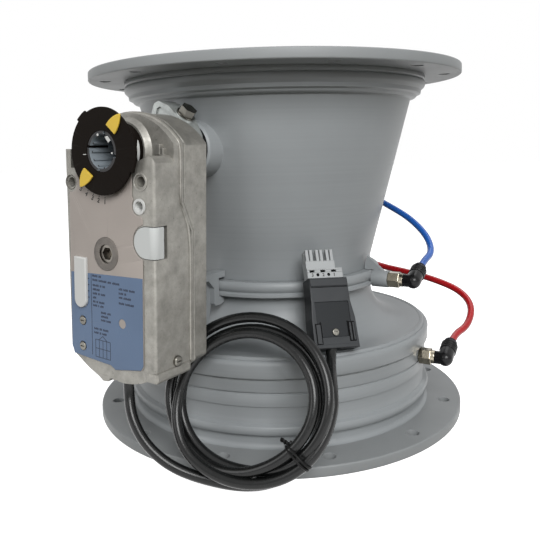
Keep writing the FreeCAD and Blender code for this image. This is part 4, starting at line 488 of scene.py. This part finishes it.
def build_materials():
    """One material per look: its maker, its colour from 0 to 255 and the maker's options."""
    body = (143, 147, 149)
    looks = {
        "housing_grey": (turned_plastic, body, 0.4),
        "fitting_grey": (moulded, body, 0.42),
        "flange_grey": (moulded, (134, 137, 138), 0.48, 0.06),
        "seal_rubber": (rubber, (36, 36, 36)),
        "bearing_plastic": (moulded, (20, 20, 21), 0.45, 0.1, 0.08),
        "shaft_steel": (metal, (150, 150, 152), 0.3),
        "nickel": (metal, (150, 143, 128), 0.16),
        "cast_aluminium": (die_cast, (139, 137, 131)),
        "clamp_casting": (die_cast, (158, 162, 160), 0.36),
        "cover_foil": (foil, (160, 152, 146)),
        "label_blue": (foil, (91, 111, 139)),
        "white_plastic": (moulded, (200, 201, 199), 0.4, 0.03),
        "button_grey": (moulded, (193, 196, 195), 0.4, 0.03),
        "adapter_grey": (adapter_with_painted_shade, (124, 132, 138)),
        "disc_black": (moulded, (19, 15, 12), 0.55, 0.12, 0.04),
        "arrow_yellow": (moulded, (212, 179, 62), 0.42, 0.05),
        "gear_steel": (metal, (120, 116, 110), 0.35),
        "motor_steel": (metal, (170, 170, 172), 0.3),
        "board_green": (glossy, (30, 95, 55), 0.35),
        "hose_blue": (glossy, (34, 92, 176), 0.26),
        "hose_red": (glossy, (168, 18, 24), 0.26),
        "collet_grey": (moulded, (44, 44, 52), 0.4, 0.1, 0.3),
        "elbow_black": (moulded, (15, 15, 16), 0.26, 0.12, 0.25),
        "cable_black": (rubber, (16, 17, 17), 0.24, 0.32),
        "tie_black": (rubber, (14, 14, 14), 0.35, 0.15),
        "connector_grey": (moulded, (164, 167, 168), 0.42, 0.03, 0.3),
        "relief_grey": (shaded_relief, (64, 66, 68)),
        "relief_dark": (moulded, (47, 49, 51), 0.4, 0.06, 0.08),
        "sensor_grey": (moulded, (176, 176, 174), 0.45, 0.03),
        "screw_steel": (metal, (112, 110, 104), 0.3),
        "print_ink": (foil, (26, 34, 54), 0.5),
        "dial_ink": (foil, (38, 35, 33), 0.5),
        "socket_grey": (die_cast, (96, 91, 86), 0.5),
        # Near black for painted shade in the connector's slots and holes and in the relief's slits
        "hole_dark": (moulded, (14, 14, 15), 0.7, 0.1, 0.05),
    }
    for name, (maker, colour, *options) in looks.items():
        materials[name] = maker(name, srgb(*colour), *options)


def soften(obj, width):
    """Ease the sharp edges of a mesh."""
    bevel = obj.modifiers.new("bevel", "BEVEL")
    bevel.width = width
    bevel.segments = 2
    bevel.limit_method = "ANGLE"
    bevel.angle_limit = SHARP_ANGLE


def dress(name, material, width):
    """Give a CAD node its material and soften its edges."""
    node = nodes[name]
    for slot in node.material_slots:
        slot.material = materials[material]
    weld = node.modifiers.new("weld", "WELD")
    weld.merge_threshold = WELD_GAP
    soften(node, width)


def dress_nodes():
    """Give each CAD node that no piece replaces its material."""
    finish = {
        "housing_grey": ("inlet_casing", "inlet_nozzle", "pressure_ring", "diffuser_casing"),
        "fitting_grey": ("far_end_cap", "support_bracket", "throat_tap_boss", "blade_upper_plate",
                         "blade_lower_plate"),
        "flange_grey": ("lower_flange", "upper_flange"),
        "seal_rubber": ("blade_seal",),
        "bearing_plastic": ("drive_bearing_bush", "far_bearing_bush"),
        "shaft_steel": ("blade_shaft", "gear_plate", "gear_spindle", "sensor_bracket"),
        "nickel": ("throat_tap_fitting", "inlet_tap_fitting"),
        "elbow_black": ("throat_elbow", "inlet_elbow"),
        "collet_grey": ("throat_collet", "inlet_collet"),
        "cast_aluminium": ("front_housing", "rear_housing", "cable_grommet"),
        "clamp_casting": ("clamp_block",),
        "cover_foil": ("front_plate",),
        "label_blue": ("type_label",),
        "white_plastic": ("side_clip", "ear_bush"),
        "button_grey": ("release_button",),
        "adapter_grey": ("shaft_adapter",),
        "disc_black": ("output_hub", "indicator_disc"),
        "arrow_yellow": ("pointer_arrows",),
        "gear_steel": ("intermediate_gear", "manual_gear", "motor_rotor", "sector_gear"),
        "motor_steel": ("drive_motor",),
        "board_green": ("circuit_board",),
        "sensor_grey": ("sensor_housing", "sensor_cover", "sensor_nozzles"),
        "screw_steel": ("housing_screws", "clamp_bolt", "blade_screws", "cover_screw"),
        "relief_grey": ("strain_relief_housing",),
        "relief_dark": ("strain_relief_cover",),
    }
    for material, names in finish.items():
        for name in names:
            dress(name, material, CAST_EDGE if material == "cast_aluminium" else EDGE)


# Small pieces made from meshes

def add_piece(name, bm, material, body="casing", bevel=0.0002, smooth=False):
    """Turn a bmesh into a piece of the object that rides on a body."""
    bmesh.ops.recalc_face_normals(bm, faces=bm.faces)
    mesh = bpy.data.meshes.new(name)
    bm.to_mesh(mesh)
    bm.free()
    if smooth:
        mesh.polygons.foreach_set("use_smooth", [True] * len(mesh.polygons))
    mesh.materials.append(materials[material])
    obj = new_object(name, mesh)
    if bevel:
        soften(obj, bevel)
    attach(obj, body)
    return obj


def blocks(matrix, limits):
    """Several blocks, given by their x, y and z limits in millimetres in a local frame."""
    bm = bmesh.new()
    sides = ((0, 2, 3, 1), (4, 5, 7, 6), (0, 1, 5, 4), (2, 6, 7, 3), (0, 4, 6, 2), (1, 3, 7, 5))
    for x0, x1, y0, y1, z0, z1 in limits:
        corners = [bm.verts.new(matrix @ mm(x, y, z)) for z in (z0, z1) for y in (y0, y1) for x in (x0, x1)]
        for side in sides:
            bm.faces.new([corners[index] for index in side])
    return bm


def plates(matrix, outlines, out, thickness):
    """Flat plates with (x, z) outlines, standing out from a face of the actuator."""
    bm = bmesh.new()
    for points in outlines:
        back = [bm.verts.new(matrix @ mm(x, -out, z)) for x, z in points]
        front = [bm.verts.new(matrix @ mm(x, -out - thickness, z)) for x, z in points]
        bm.faces.new(back)
        bm.faces.new(front)
        for index in range(len(points)):
            bm.faces.new((back[index - 1], back[index], front[index], front[index - 1]))
    return bm


def turned(matrix, profiles, segments=48):
    """Rings turned about the local z axis from closed (radius, height) profiles."""
    bm = bmesh.new()
    for profile in profiles:
        loops = []
        for index in range(segments):
            a = 2 * math.pi * index / segments
            loops.append([bm.verts.new(matrix @ mm(r * math.cos(a), r * math.sin(a), h)) for r, h in profile])
        for here, after in zip(loops, loops[1:] + loops[:1]):
            for k in range(len(profile)):
                j = (k + 1) % len(profile)
                bm.faces.new((here[k], after[k], after[j], here[j]))
    return bm


def disc_outline(x, z, radius, count=20):
    turns = [2 * math.pi * index / count for index in range(count)]
    return [(x + radius * math.cos(a), z + radius * math.sin(a)) for a in turns]


def bar_outline(x0, z0, x1, z1, width):
    """Thin straight bar between two points."""
    along = Vector((x1 - x0, z1 - z0)).normalized() * width / 2
    side = Vector((-along.y, along.x))
    return [
        (x0 + side.x, z0 + side.y), (x0 - side.x, z0 - side.y),
        (x1 - side.x, z1 - side.y), (x1 + side.x, z1 + side.y),
    ]


# Actuator: cast details, position scale, label print and marks on the hub

def outward_ring(inner, outer, low, high):
    """Section of a flat ring with eased upper edges."""
    ease = 0.3
    return [
        (inner, low), (outer, low), (outer, high - ease),
        (outer - ease, high), (inner + ease, high), (inner, high - ease),
    ]


def add_casting_details():
    """Raised rims round the ear holes and the winding socket, and a small lug on the dome."""
    for name, (x, z, inner, outer) in EAR_RIMS.items():
        rim = turned(facing_out(x, ACT_FRONT, z), [outward_ring(inner, outer, -0.2, 0.6)])
        add_piece(name, rim, "cast_aluminium", bevel=0, smooth=True)
    x, z, inner, outer = SOCKET_RIM
    rim = turned(facing_out(x, ACT_FRONT, z), [outward_ring(inner, outer, 0.2, 1.1)])
    add_piece("socket_rim", rim, "socket_grey", bevel=0, smooth=True)
    lug = blocks(shaft_frame(), [
        (26.5, 34.5, -184, -181.5, -4, -1.5),
        (28, 31.5, -185, -181.5, -2, 5),
        (32.5, 34, -184.5, -181.5, -3, 2.5),
    ])
    add_piece("dome_lug", lug, "cast_aluminium", bevel=0.0004)


def add_foot_lip():
    """Cast lip under the front plate, with its lug, and the bar below the side screw."""
    lower = [
        (-37, -138.6), (-34.8, -141.6), (-22.4, -148.8), (-12.3, -153), (-8, -155.6), (-3.5, -155.2),
        (-1.5, -152.8), (0.5, -152), (2.5, -153.2), (4.5, -152.2), (7, -152.8), (12, -153),
        (20, -151.8), (28, -149.6), (34, -146.8), (39.5, -144),
    ]
    upper = [(39.5, -139), (-20, -139), (-37, -131)]
    lip = plates(shaft_frame(), [lower + upper], ACT_FRONT - 11, 10.8)
    add_piece("foot_lip", lip, "cast_aluminium", bevel=0.0006)
    bar = blocks(shaft_frame(), [
        (38, 42.2, -200.6, -166.5, -147.4, -140.4),
        (31.6, 42.2, -200.7, -197, -147.4, -140.4),
    ])
    add_piece("foot_bar", bar, "cast_aluminium", bevel=0.0018)


def add_seam_bead():
    """Raised bead in front of the parting line: up one side, over the arch and down the other side."""
    path = [(HALF_WIDTH, z) for z in (-140, -95, -52, -33, -15)]
    centre_x, centre_z, radius = ARCH
    first, last = ARCH_ANGLES
    steps = 12
    for step in range(steps + 1):
        a = math.radians(first + (last - first) * step / steps)
        path.append((centre_x + radius * math.cos(a), centre_z + radius * math.sin(a)))
    path += [(-42.2, -15), (-41.6, -33), (-41.2, -52), (-40.4, -95), (-39.7, -140)]
    jog_top, jog_foot = SEAM_JOG
    points = []
    for x, z in path:
        share = min(max((jog_top - z) / (jog_top - jog_foot), 0), 1)
        points.append(on_actuator(x, SEAM_OUT - SEAM_STEP * share, z))
    bead = nurbs_tube("seam_bead", points, SEAM_WIRE, "cast_aluminium")
    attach(bead, "casing")


def add_digit(name, body, size, place):
    """One plain figure, centred on a place and readable along its z axis."""
    text = bpy.data.curves.new(name, "FONT")
    text.body = body
    text.size = size
    text.align_x = "CENTER"
    text.align_y = "CENTER"
    text.extrude = 0.00004
    text.offset = size * 0.03
    text.materials.append(materials["dial_ink"])
    digit = new_object(name, text)
    digit.matrix_world = place
    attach(digit, "casing")
    return digit


def add_dial():
    """Plain digits of the position scale beside the disc, each with a tick above it."""
    tick_start, tick_end, tick_width = 3.4, 2.3, 0.6
    ticks = []
    for index, (x, z) in enumerate(DIGIT_PLACES):
        away = Vector((x, z)).normalized()
        start = Vector((x, z)) - away * tick_start
        end = Vector((x, z)) - away * tick_end
        ticks.append(bar_outline(*start, *end, tick_width))
        spin = math.atan2(z, x) + math.radians(90)
        place = facing_out(x, PLATE_FACE + 0.05, z) @ Matrix.Rotation(spin, 4, "Z")
        add_digit("dial_digit_%d" % index, str(len(DIGIT_PLACES) - index), 0.0044, place)
    raised = plates(shaft_frame(), ticks, PLATE_FACE, 0.08)
    add_piece("dial_ticks", raised, "dial_ink", bevel=0)


def word_row(x, z, lengths):
    """Row of words, each a run of small upright strokes that spell nothing."""
    thick, pitch, space = 0.62, 0.85, 0.9
    strokes = []
    for length in lengths:
        for index in range(length):
            tall = 1.4 if (index * 3 + length) % 4 else 1.05
            strokes.append([(x, z), (x + thick, z), (x + thick, z + tall), (x, z + tall)])
            x += pitch
        x += space
    return strokes


def terminal_grid():
    """Small grid of four columns and two rows with a pitched line over it."""
    left, right, high, low = -13.3, 0.8, -127.0, -139.0
    columns = 4
    line = 0.4
    bars = []
    for index in range(columns + 1):
        x = left + index * (right - left) / columns
        bars.append(bar_outline(x, high, x, low, line))
    for z in (high, (high + low) / 2, low):
        bars.append(bar_outline(left, z, right, z, line))
    peak = ((left + right) / 2, high + 3)
    bars.append(bar_outline(left + 3, high, *peak, line))
    bars.append(bar_outline(right - 3, high, *peak, line))
    return bars


def add_label_print():
    """Plain print on the blue label: rule, rows of strokes in place of words, ticks, terminal grid."""
    bars = [bar_outline(-16.6, -82.8, -16.6, -138.4, 0.4)]
    rows = (
        (-15.4, -84.2, (6, 3)), (-15.4, -87.0, (6, 9, 4, 8)),
        (-15.2, -90.6, (7, 2, 3)), (-15.2, -93.4, (8,)), (-15.2, -96.2, (5, 2, 5)),
        (-15.2, -99.0, (4,)), (-15.2, -101.8, (3, 2, 6)), (-15.2, -104.4, (5, 1, 4)),
        (9.5, -90.0, (4, 5, 6)), (9.5, -92.8, (5, 2)), (9.5, -95.6, (4, 8)), (9.5, -99.4, (6, 9)),
        (-7.6, -108.4, (6, 4)), (-7.6, -111.0, (8,)), (-7.6, -113.6, (5, 5)),
        (-14.4, -120.2, (5, 3, 6)), (-14.4, -123.0, (5, 2, 5)),
    )
    for x, z, lengths in rows:
        bars.extend(word_row(x, z, lengths))
    for index in range(4):
        z = -86.0 - index * 4.3
        bars.append(bar_outline(-20.0, z, -18.6, z, 0.6))
    bars.extend(terminal_grid())
    raised = plates(shaft_frame(), bars, LABEL_FACE, 0.06)
    add_piece("label_print", raised, "print_ink", bevel=0)


def hub_stripe(matrix):
    """Curved stripe on the hub's rim that tapers to both ends."""
    bm = bmesh.new()
    inner, outer, level = 18.0, 18.25, 188.8
    count = 13
    rows = []
    for index in range(count):
        a = math.radians(-26 + index * 4)
        taper = math.sin(math.pi * (index + 0.8) / (count + 0.6))
        section = [
            (inner, level), (outer, level + 0.2),
            (outer, level + 2.4 * taper), (inner, level + 2.6 * taper),
        ]
        rows.append([bm.verts.new(matrix @ mm(r * math.cos(a), -out, r * math.sin(a))) for r, out in section])
    for here, after in zip(rows, rows[1:]):
        for k in range(3):
            bm.faces.new((here[k], after[k], after[k + 1], here[k + 1]))
    bm.faces.new(rows[0])
    bm.faces.new(rows[-1][::-1])
    return bm


def add_hub_marks():
    """White stripe on the hub and the pale marks inside the disc's bore; they turn with the shaft."""
    turn = shaft_frame(tilted=False)
    add_piece("hub_stripe", hub_stripe(turn), "white_plastic", "blade", bevel=0)
    patch = [(3.6, 9.2), (6.1, 9.7), (8.7, 6.9), (6.7, 5.2)]
    marks = plates(turn, [disc_outline(-2.8, 10.6, 0.9), disc_outline(9.6, -1.3, 0.7), patch], 204.9, 0.35)
    add_piece("adapter_marks", marks, "white_plastic", "blade")
    line = plates(turn, [bar_outline(-16.9, -1.8, -14.0, -1.8, 0.5)], 205.4, 0.08)
    add_piece("disc_line", line, "white_plastic", "blade", bevel=0)


# Plug

def connector_limits():
    """Limits of the connector's foot, its collar, the webs between the slots, and the contacts."""
    left, right = FOOT_SIDES
    front, back = FOOT_FRONT, FOOT_BACK
    skin = front + 2.3
    limits = [
        (left, right, front + 2.2, back, PLUG_TOP, FOOT_TOP),
        (left, right, front, skin, PLUG_TOP, SLOT_LOW),
        (left, right, front, skin, SLOT_HIGH, FOOT_TOP),
        (left, 7.5, front + 0.8, back, FOOT_TOP - 0.2, FOOT_TOP + 6.0),
    ]
    starts = [left] + [x + SLOT_HALF for x in POLES]
    ends = [x - SLOT_HALF for x in POLES] + [right]
    for start, end in zip(starts, ends):
        limits.append((start, end, front, skin, SLOT_LOW, SLOT_HIGH))
    for middle in CONTACTS:
        for centre in (middle - PRONG_OFFSET, middle + PRONG_OFFSET):
            start, end = centre - PRONG_HALF, centre + PRONG_HALF
            limits.append((start, end, front + 0.6, front + 3.6, PRONG_FOOT, PLUG_TOP + 22))
            limits.append((start, end, front + 5.0, back, PRONG_FOOT, PLUG_TOP + 21.6))
        limits.append((middle - 2.6, middle + 2.6, front + 3.2, front + 5.4, PRONG_FOOT, PLUG_TOP + 19.5))
    return limits


def add_connector():
    """Three-pole connector with painted shade in its slots and two round holes, and the poles' digits."""
    place = plug_frame()
    front = FOOT_FRONT
    block = add_piece("contact_block", blocks(place, connector_limits()), "connector_grey", bevel=0.0003)
    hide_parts("connector_body")
    # Painted shade: near-black plates at the floor of each slot.
    dark = [(x - SLOT_HALF, x + SLOT_HALF, front + 1.9, front + 2.25, SLOT_LOW, SLOT_HIGH) for x in POLES]
    slots = add_piece("pole_slot_shade", blocks(place, dark), "hole_dark", bevel=0.0001)
    pieces = [block, slots]
    face = place @ Matrix.Rotation(math.radians(90), 4, "X") @ Matrix.Translation(mm(0, PLUG_TOP, -front))
    profile = [(0.05, 0.05), (1.2, 0.05), (1.3, -0.1), (1.3, -1), (0.05, -1)]
    for index, x in enumerate((-7.4, 1.2)):
        name = "pole_hole_%d" % index
        # Painted shade: each round hole is a near-black plug set in the face.
        hole = turned(face @ Matrix.Translation(mm(x, 2.5, 0)), [profile], 20)
        pieces.append(add_piece(name, hole, "hole_dark", bevel=0, smooth=True))
    for index, x in enumerate(POLES):
        spot = face @ Matrix.Translation(mm(x, 2.3, 0.02))
        figure = str(len(POLES) - index)
        pieces.append(add_digit("pole_digit_%d" % index, figure, 0.0034, spot))
    return pieces


def add_relief_details():
    """Raised band, latch tabs and lip on the strain relief's front, and painted shade in the slits by the
    tabs and under the band.
    """
    place = plug_frame()
    front = PLUG_FRONT
    band = blocks(place, [(-15.0, 14.6, front - 0.9, front + 0.5, 45.4, 51.2)])
    latches = blocks(place, [
        (-14.6, -11.2, front - 0.7, front + 1.5, 3.5, 17.5),
        (11.0, 12.6, front - 0.6, front + 1.5, 5.0, 18.0),
        (13.6, 15.0, front - 0.6, front + 1.5, 5.0, 18.0),
        (-15.5, 15.6, front - 0.5, front + 0.5, 0.3, 3.0),
    ])
    # Painted shade: near-black sheets in the slits beside the latches and under the band.
    gaps = blocks(place, [
        (-15.2, -10.5, front - 0.12, front + 0.5, 3.1, 18.2),
        (10.2, 15.4, front - 0.12, front + 0.5, 4.4, 18.7),
        (-14.8, 14.4, front - 0.12, front + 0.5, 44.6, 45.1),
    ])
    return [
        add_piece("relief_band", band, "relief_grey", bevel=0.0008),
        add_piece("relief_latches", latches, "relief_grey", bevel=0.0004),
        add_piece("latch_gap_shade", gaps, "hole_dark", bevel=0.0001),
    ]


# Elbow ribs

def add_elbow_ribs():
    """Grip ribs round each elbow's hose socket."""
    root, crest = 6.1, 6.7
    lows = [8.6 + 2.4 * index for index in range(4)]
    rings = [[(root, low), (crest, low + 0.3), (crest, low + 1.2), (root, low + 1.5)] for low in lows]
    for name, tap in (("throat_elbow_ribs", THROAT_TAP), ("inlet_elbow_ribs", INLET_TAP)):
        add_piece(name, turned(tap_frame(tap, 0), rings), "elbow_black", bevel=0, smooth=True)


# Cords

def add_spline(data, points):
    """NURBS spline with these control points, which begins and ends on the first and the last."""
    spline = data.splines.new("NURBS")
    spline.points.add(len(points) - 1)
    for point, place in zip(spline.points, points):
        point.co = (*place, 1)
    spline.order_u = 3
    spline.use_endpoint_u = True


def nurbs_data(name, points, diameter=0.0):
    """Round tube along a route, or the bare line where no diameter is given."""
    data = bpy.data.curves.new(name, "CURVE")
    data.dimensions = "3D"
    data.bevel_depth = diameter / 2
    data.bevel_resolution = 6
    data.resolution_u = 10
    data.use_fill_caps = True
    add_spline(data, points)
    return data


def nurbs_tube(name, points, diameter, material):
    data = nurbs_data(name, points, diameter)
    data.materials.append(materials[material])
    return new_object(name, data)


def route_length(points):
    """Length of the smooth line that these control points give."""
    data = nurbs_data("probe", points)
    probe = bpy.data.objects.new("probe", data)
    mesh = bpy.data.meshes.new_from_object(probe)
    places = [vertex.co for vertex in mesh.vertices]
    total = sum((places[edge.vertices[0]] - places[edge.vertices[1]]).length for edge in mesh.edges)
    bpy.data.objects.remove(probe)
    bpy.data.curves.remove(data)
    bpy.data.meshes.remove(mesh)
    return total


def add_hoses():
    """Blue and red hose from the elbows round the casing to the sensor's nozzles at the back."""
    port_x, port_y = SENSOR_PORT
    blue = [
        mm(136, -17.5, 131), mm(136.5, 2, 143), mm(125.5, 23, 157), mm(110, 44, 167),
        mm(98, 70, 174), mm(84, 100, 181), mm(66, port_y, 186), mm(port_x, port_y, 186),
    ]
    red = [
        mm(163, -33, 69.5), mm(172, -16, 82.5), mm(167, 4.5, 92), mm(149, 22, 98.5), mm(128, 41, 102.5),
        mm(108, 62, 104), mm(92, 88, 106.5), mm(68, port_y, 112), mm(port_x, port_y, 112),
    ]
    hoses = (
        ("blue_tube", THROAT_TAP, blue, "hose_blue", "blue_hose"),
        ("red_tube", INLET_TAP, red, "hose_red", "red_hose"),
    )
    for name, tap, route, material, node in hoses:
        start = [tap_frame(tap, reach).translation for reach in (HOSE_INSERT, HOSE_INSERT + HOSE_LEAD)]
        points = start + route
        tube = nurbs_tube(name, points, HOSE_DIAMETER, material)
        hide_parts(node)
        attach(tube, "casing")
        route_length(points)


def coil_frame():
    """Centre of the coil, its two directions in the plane and its axis towards the viewer."""
    axis = Vector((COIL_SKEW, -1, COIL_LEAN)).normalized()
    level = Vector((1, COIL_SKEW, 0)).normalized()
    rise = level.cross(axis)
    if rise.z < 0:
        rise = -rise
    level = axis.cross(rise)
    if level.x < 0:
        level = -level
    centre_z = COIL_OUTER * rise.z + COIL_HALF_THICKNESS * abs(axis.z) + FLOOR_GAP
    centre = mm(COIL_CENTRE_X, COIL_FRONT_Y + COIL_LEAN * (centre_z - COIL_FOOT_Z), centre_z)
    return centre, level, rise, axis


def coil_point(angle, radius, depth):
    """Place in the coil: an angle in its plane, a radius, and a depth towards the viewer."""
    centre, level, rise, axis = coil_frame()
    a = math.radians(angle)
    across = level * radius * COIL_WIDENING * math.cos(a)
    return centre + (across + rise * radius * math.sin(a) + axis * depth) / 1000


def coil_points():
    """Loose turns from the bottom round to the right-hand side, eased from station to station."""
    swell = 1 / math.cos(math.pi / TURN_POINTS)
    step = 360 / TURN_POINTS
    points = []
    angle = COIL_STATIONS[0][0]
    while angle <= COIL_STATIONS[-1][0]:
        for low, high in zip(COIL_STATIONS, COIL_STATIONS[1:]):
            if low[0] <= angle <= high[0]:
                share = (angle - low[0]) / (high[0] - low[0])
                share = (1 - math.cos(math.pi * share)) / 2
                radius = low[1] + (high[1] - low[1]) * share
                depth = low[2] + (high[2] - low[2]) * share
        points.append(coil_point(angle, radius * swell, depth))
        angle += step
    return points


def add_tie():
    """Wire tie: two turns round the coil with its ends twisted together inside the ring."""
    level, rise, axis = coil_frame()[1:]
    a = math.radians(TIE_PLACE[0])
    way = level * math.cos(a) + rise * math.sin(a)
    along = way.cross(axis).normalized()
    middle = coil_point(*TIE_PLACE)
    turns = []
    steps = 24
    for index in range(steps + 1):
        a = math.radians(180 + 720 * index / steps)
        reach = way * TIE_HALF_WIDTH * math.cos(a) + axis * TIE_HALF_DEPTH * math.sin(a)
        turns.append(middle + reach + along * TIE_SPREAD * (index / steps - 0.5))
    data = nurbs_data("tie_wire", turns, TIE_WIRE)
    tail = (axis * 0.5 - way * 0.9 - rise * 0.2).normalized()
    side = tail.cross(axis).normalized()
    up = tail.cross(side)
    root = middle - way * TWIST_START
    for phase in (0, math.pi):
        strand = []
        for index in range(TWIST_POINTS):
            a = phase + TWIST_TURN * index
            swing = (side * math.cos(a) + up * math.sin(a)) * TIE_WIRE / 2
            strand.append(root + tail * TWIST_RISE * index + swing)
        add_spline(data, strand)
    data.materials.append(materials["tie_black"])
    tie = new_object("tie_wire", data)
    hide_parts("cable_tie")
    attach(tie, "casing")
    return tie


def add_lead(pieces):
    """One lead: from the actuator down to the floor, through the coil and up into the plug."""
    plug = plug_frame()
    down = [
        on_actuator(-1, 183, -154), on_actuator(-1, 183, -167), mm(-102, -158, 45),
        mm(-93, -163, 29), mm(-77, -167, 15.5), mm(-56, -169, 7),
    ]
    up = [coil_point(1093, 52.5, -8.5), plug @ mm(-5, -8.5, -7), plug @ mm(-2, -9.5, 6)]
    points = down + coil_points() + up
    cable = nurbs_tube("lead", points, CABLE_DIAMETER, "cable_black")
    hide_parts("actuator_cable", "cable_coil", "plug_cable")
    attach(cable, "casing")
    route_length(points)


build_materials()
add_camera()
add_studio()
dress_nodes()
add_casting_details()
add_foot_lip()
add_seam_bead()
add_dial()
add_label_print()
add_hub_marks()
add_elbow_ribs()
add_hoses()
add_lead(add_connector() + add_relief_details() + [add_tie()])
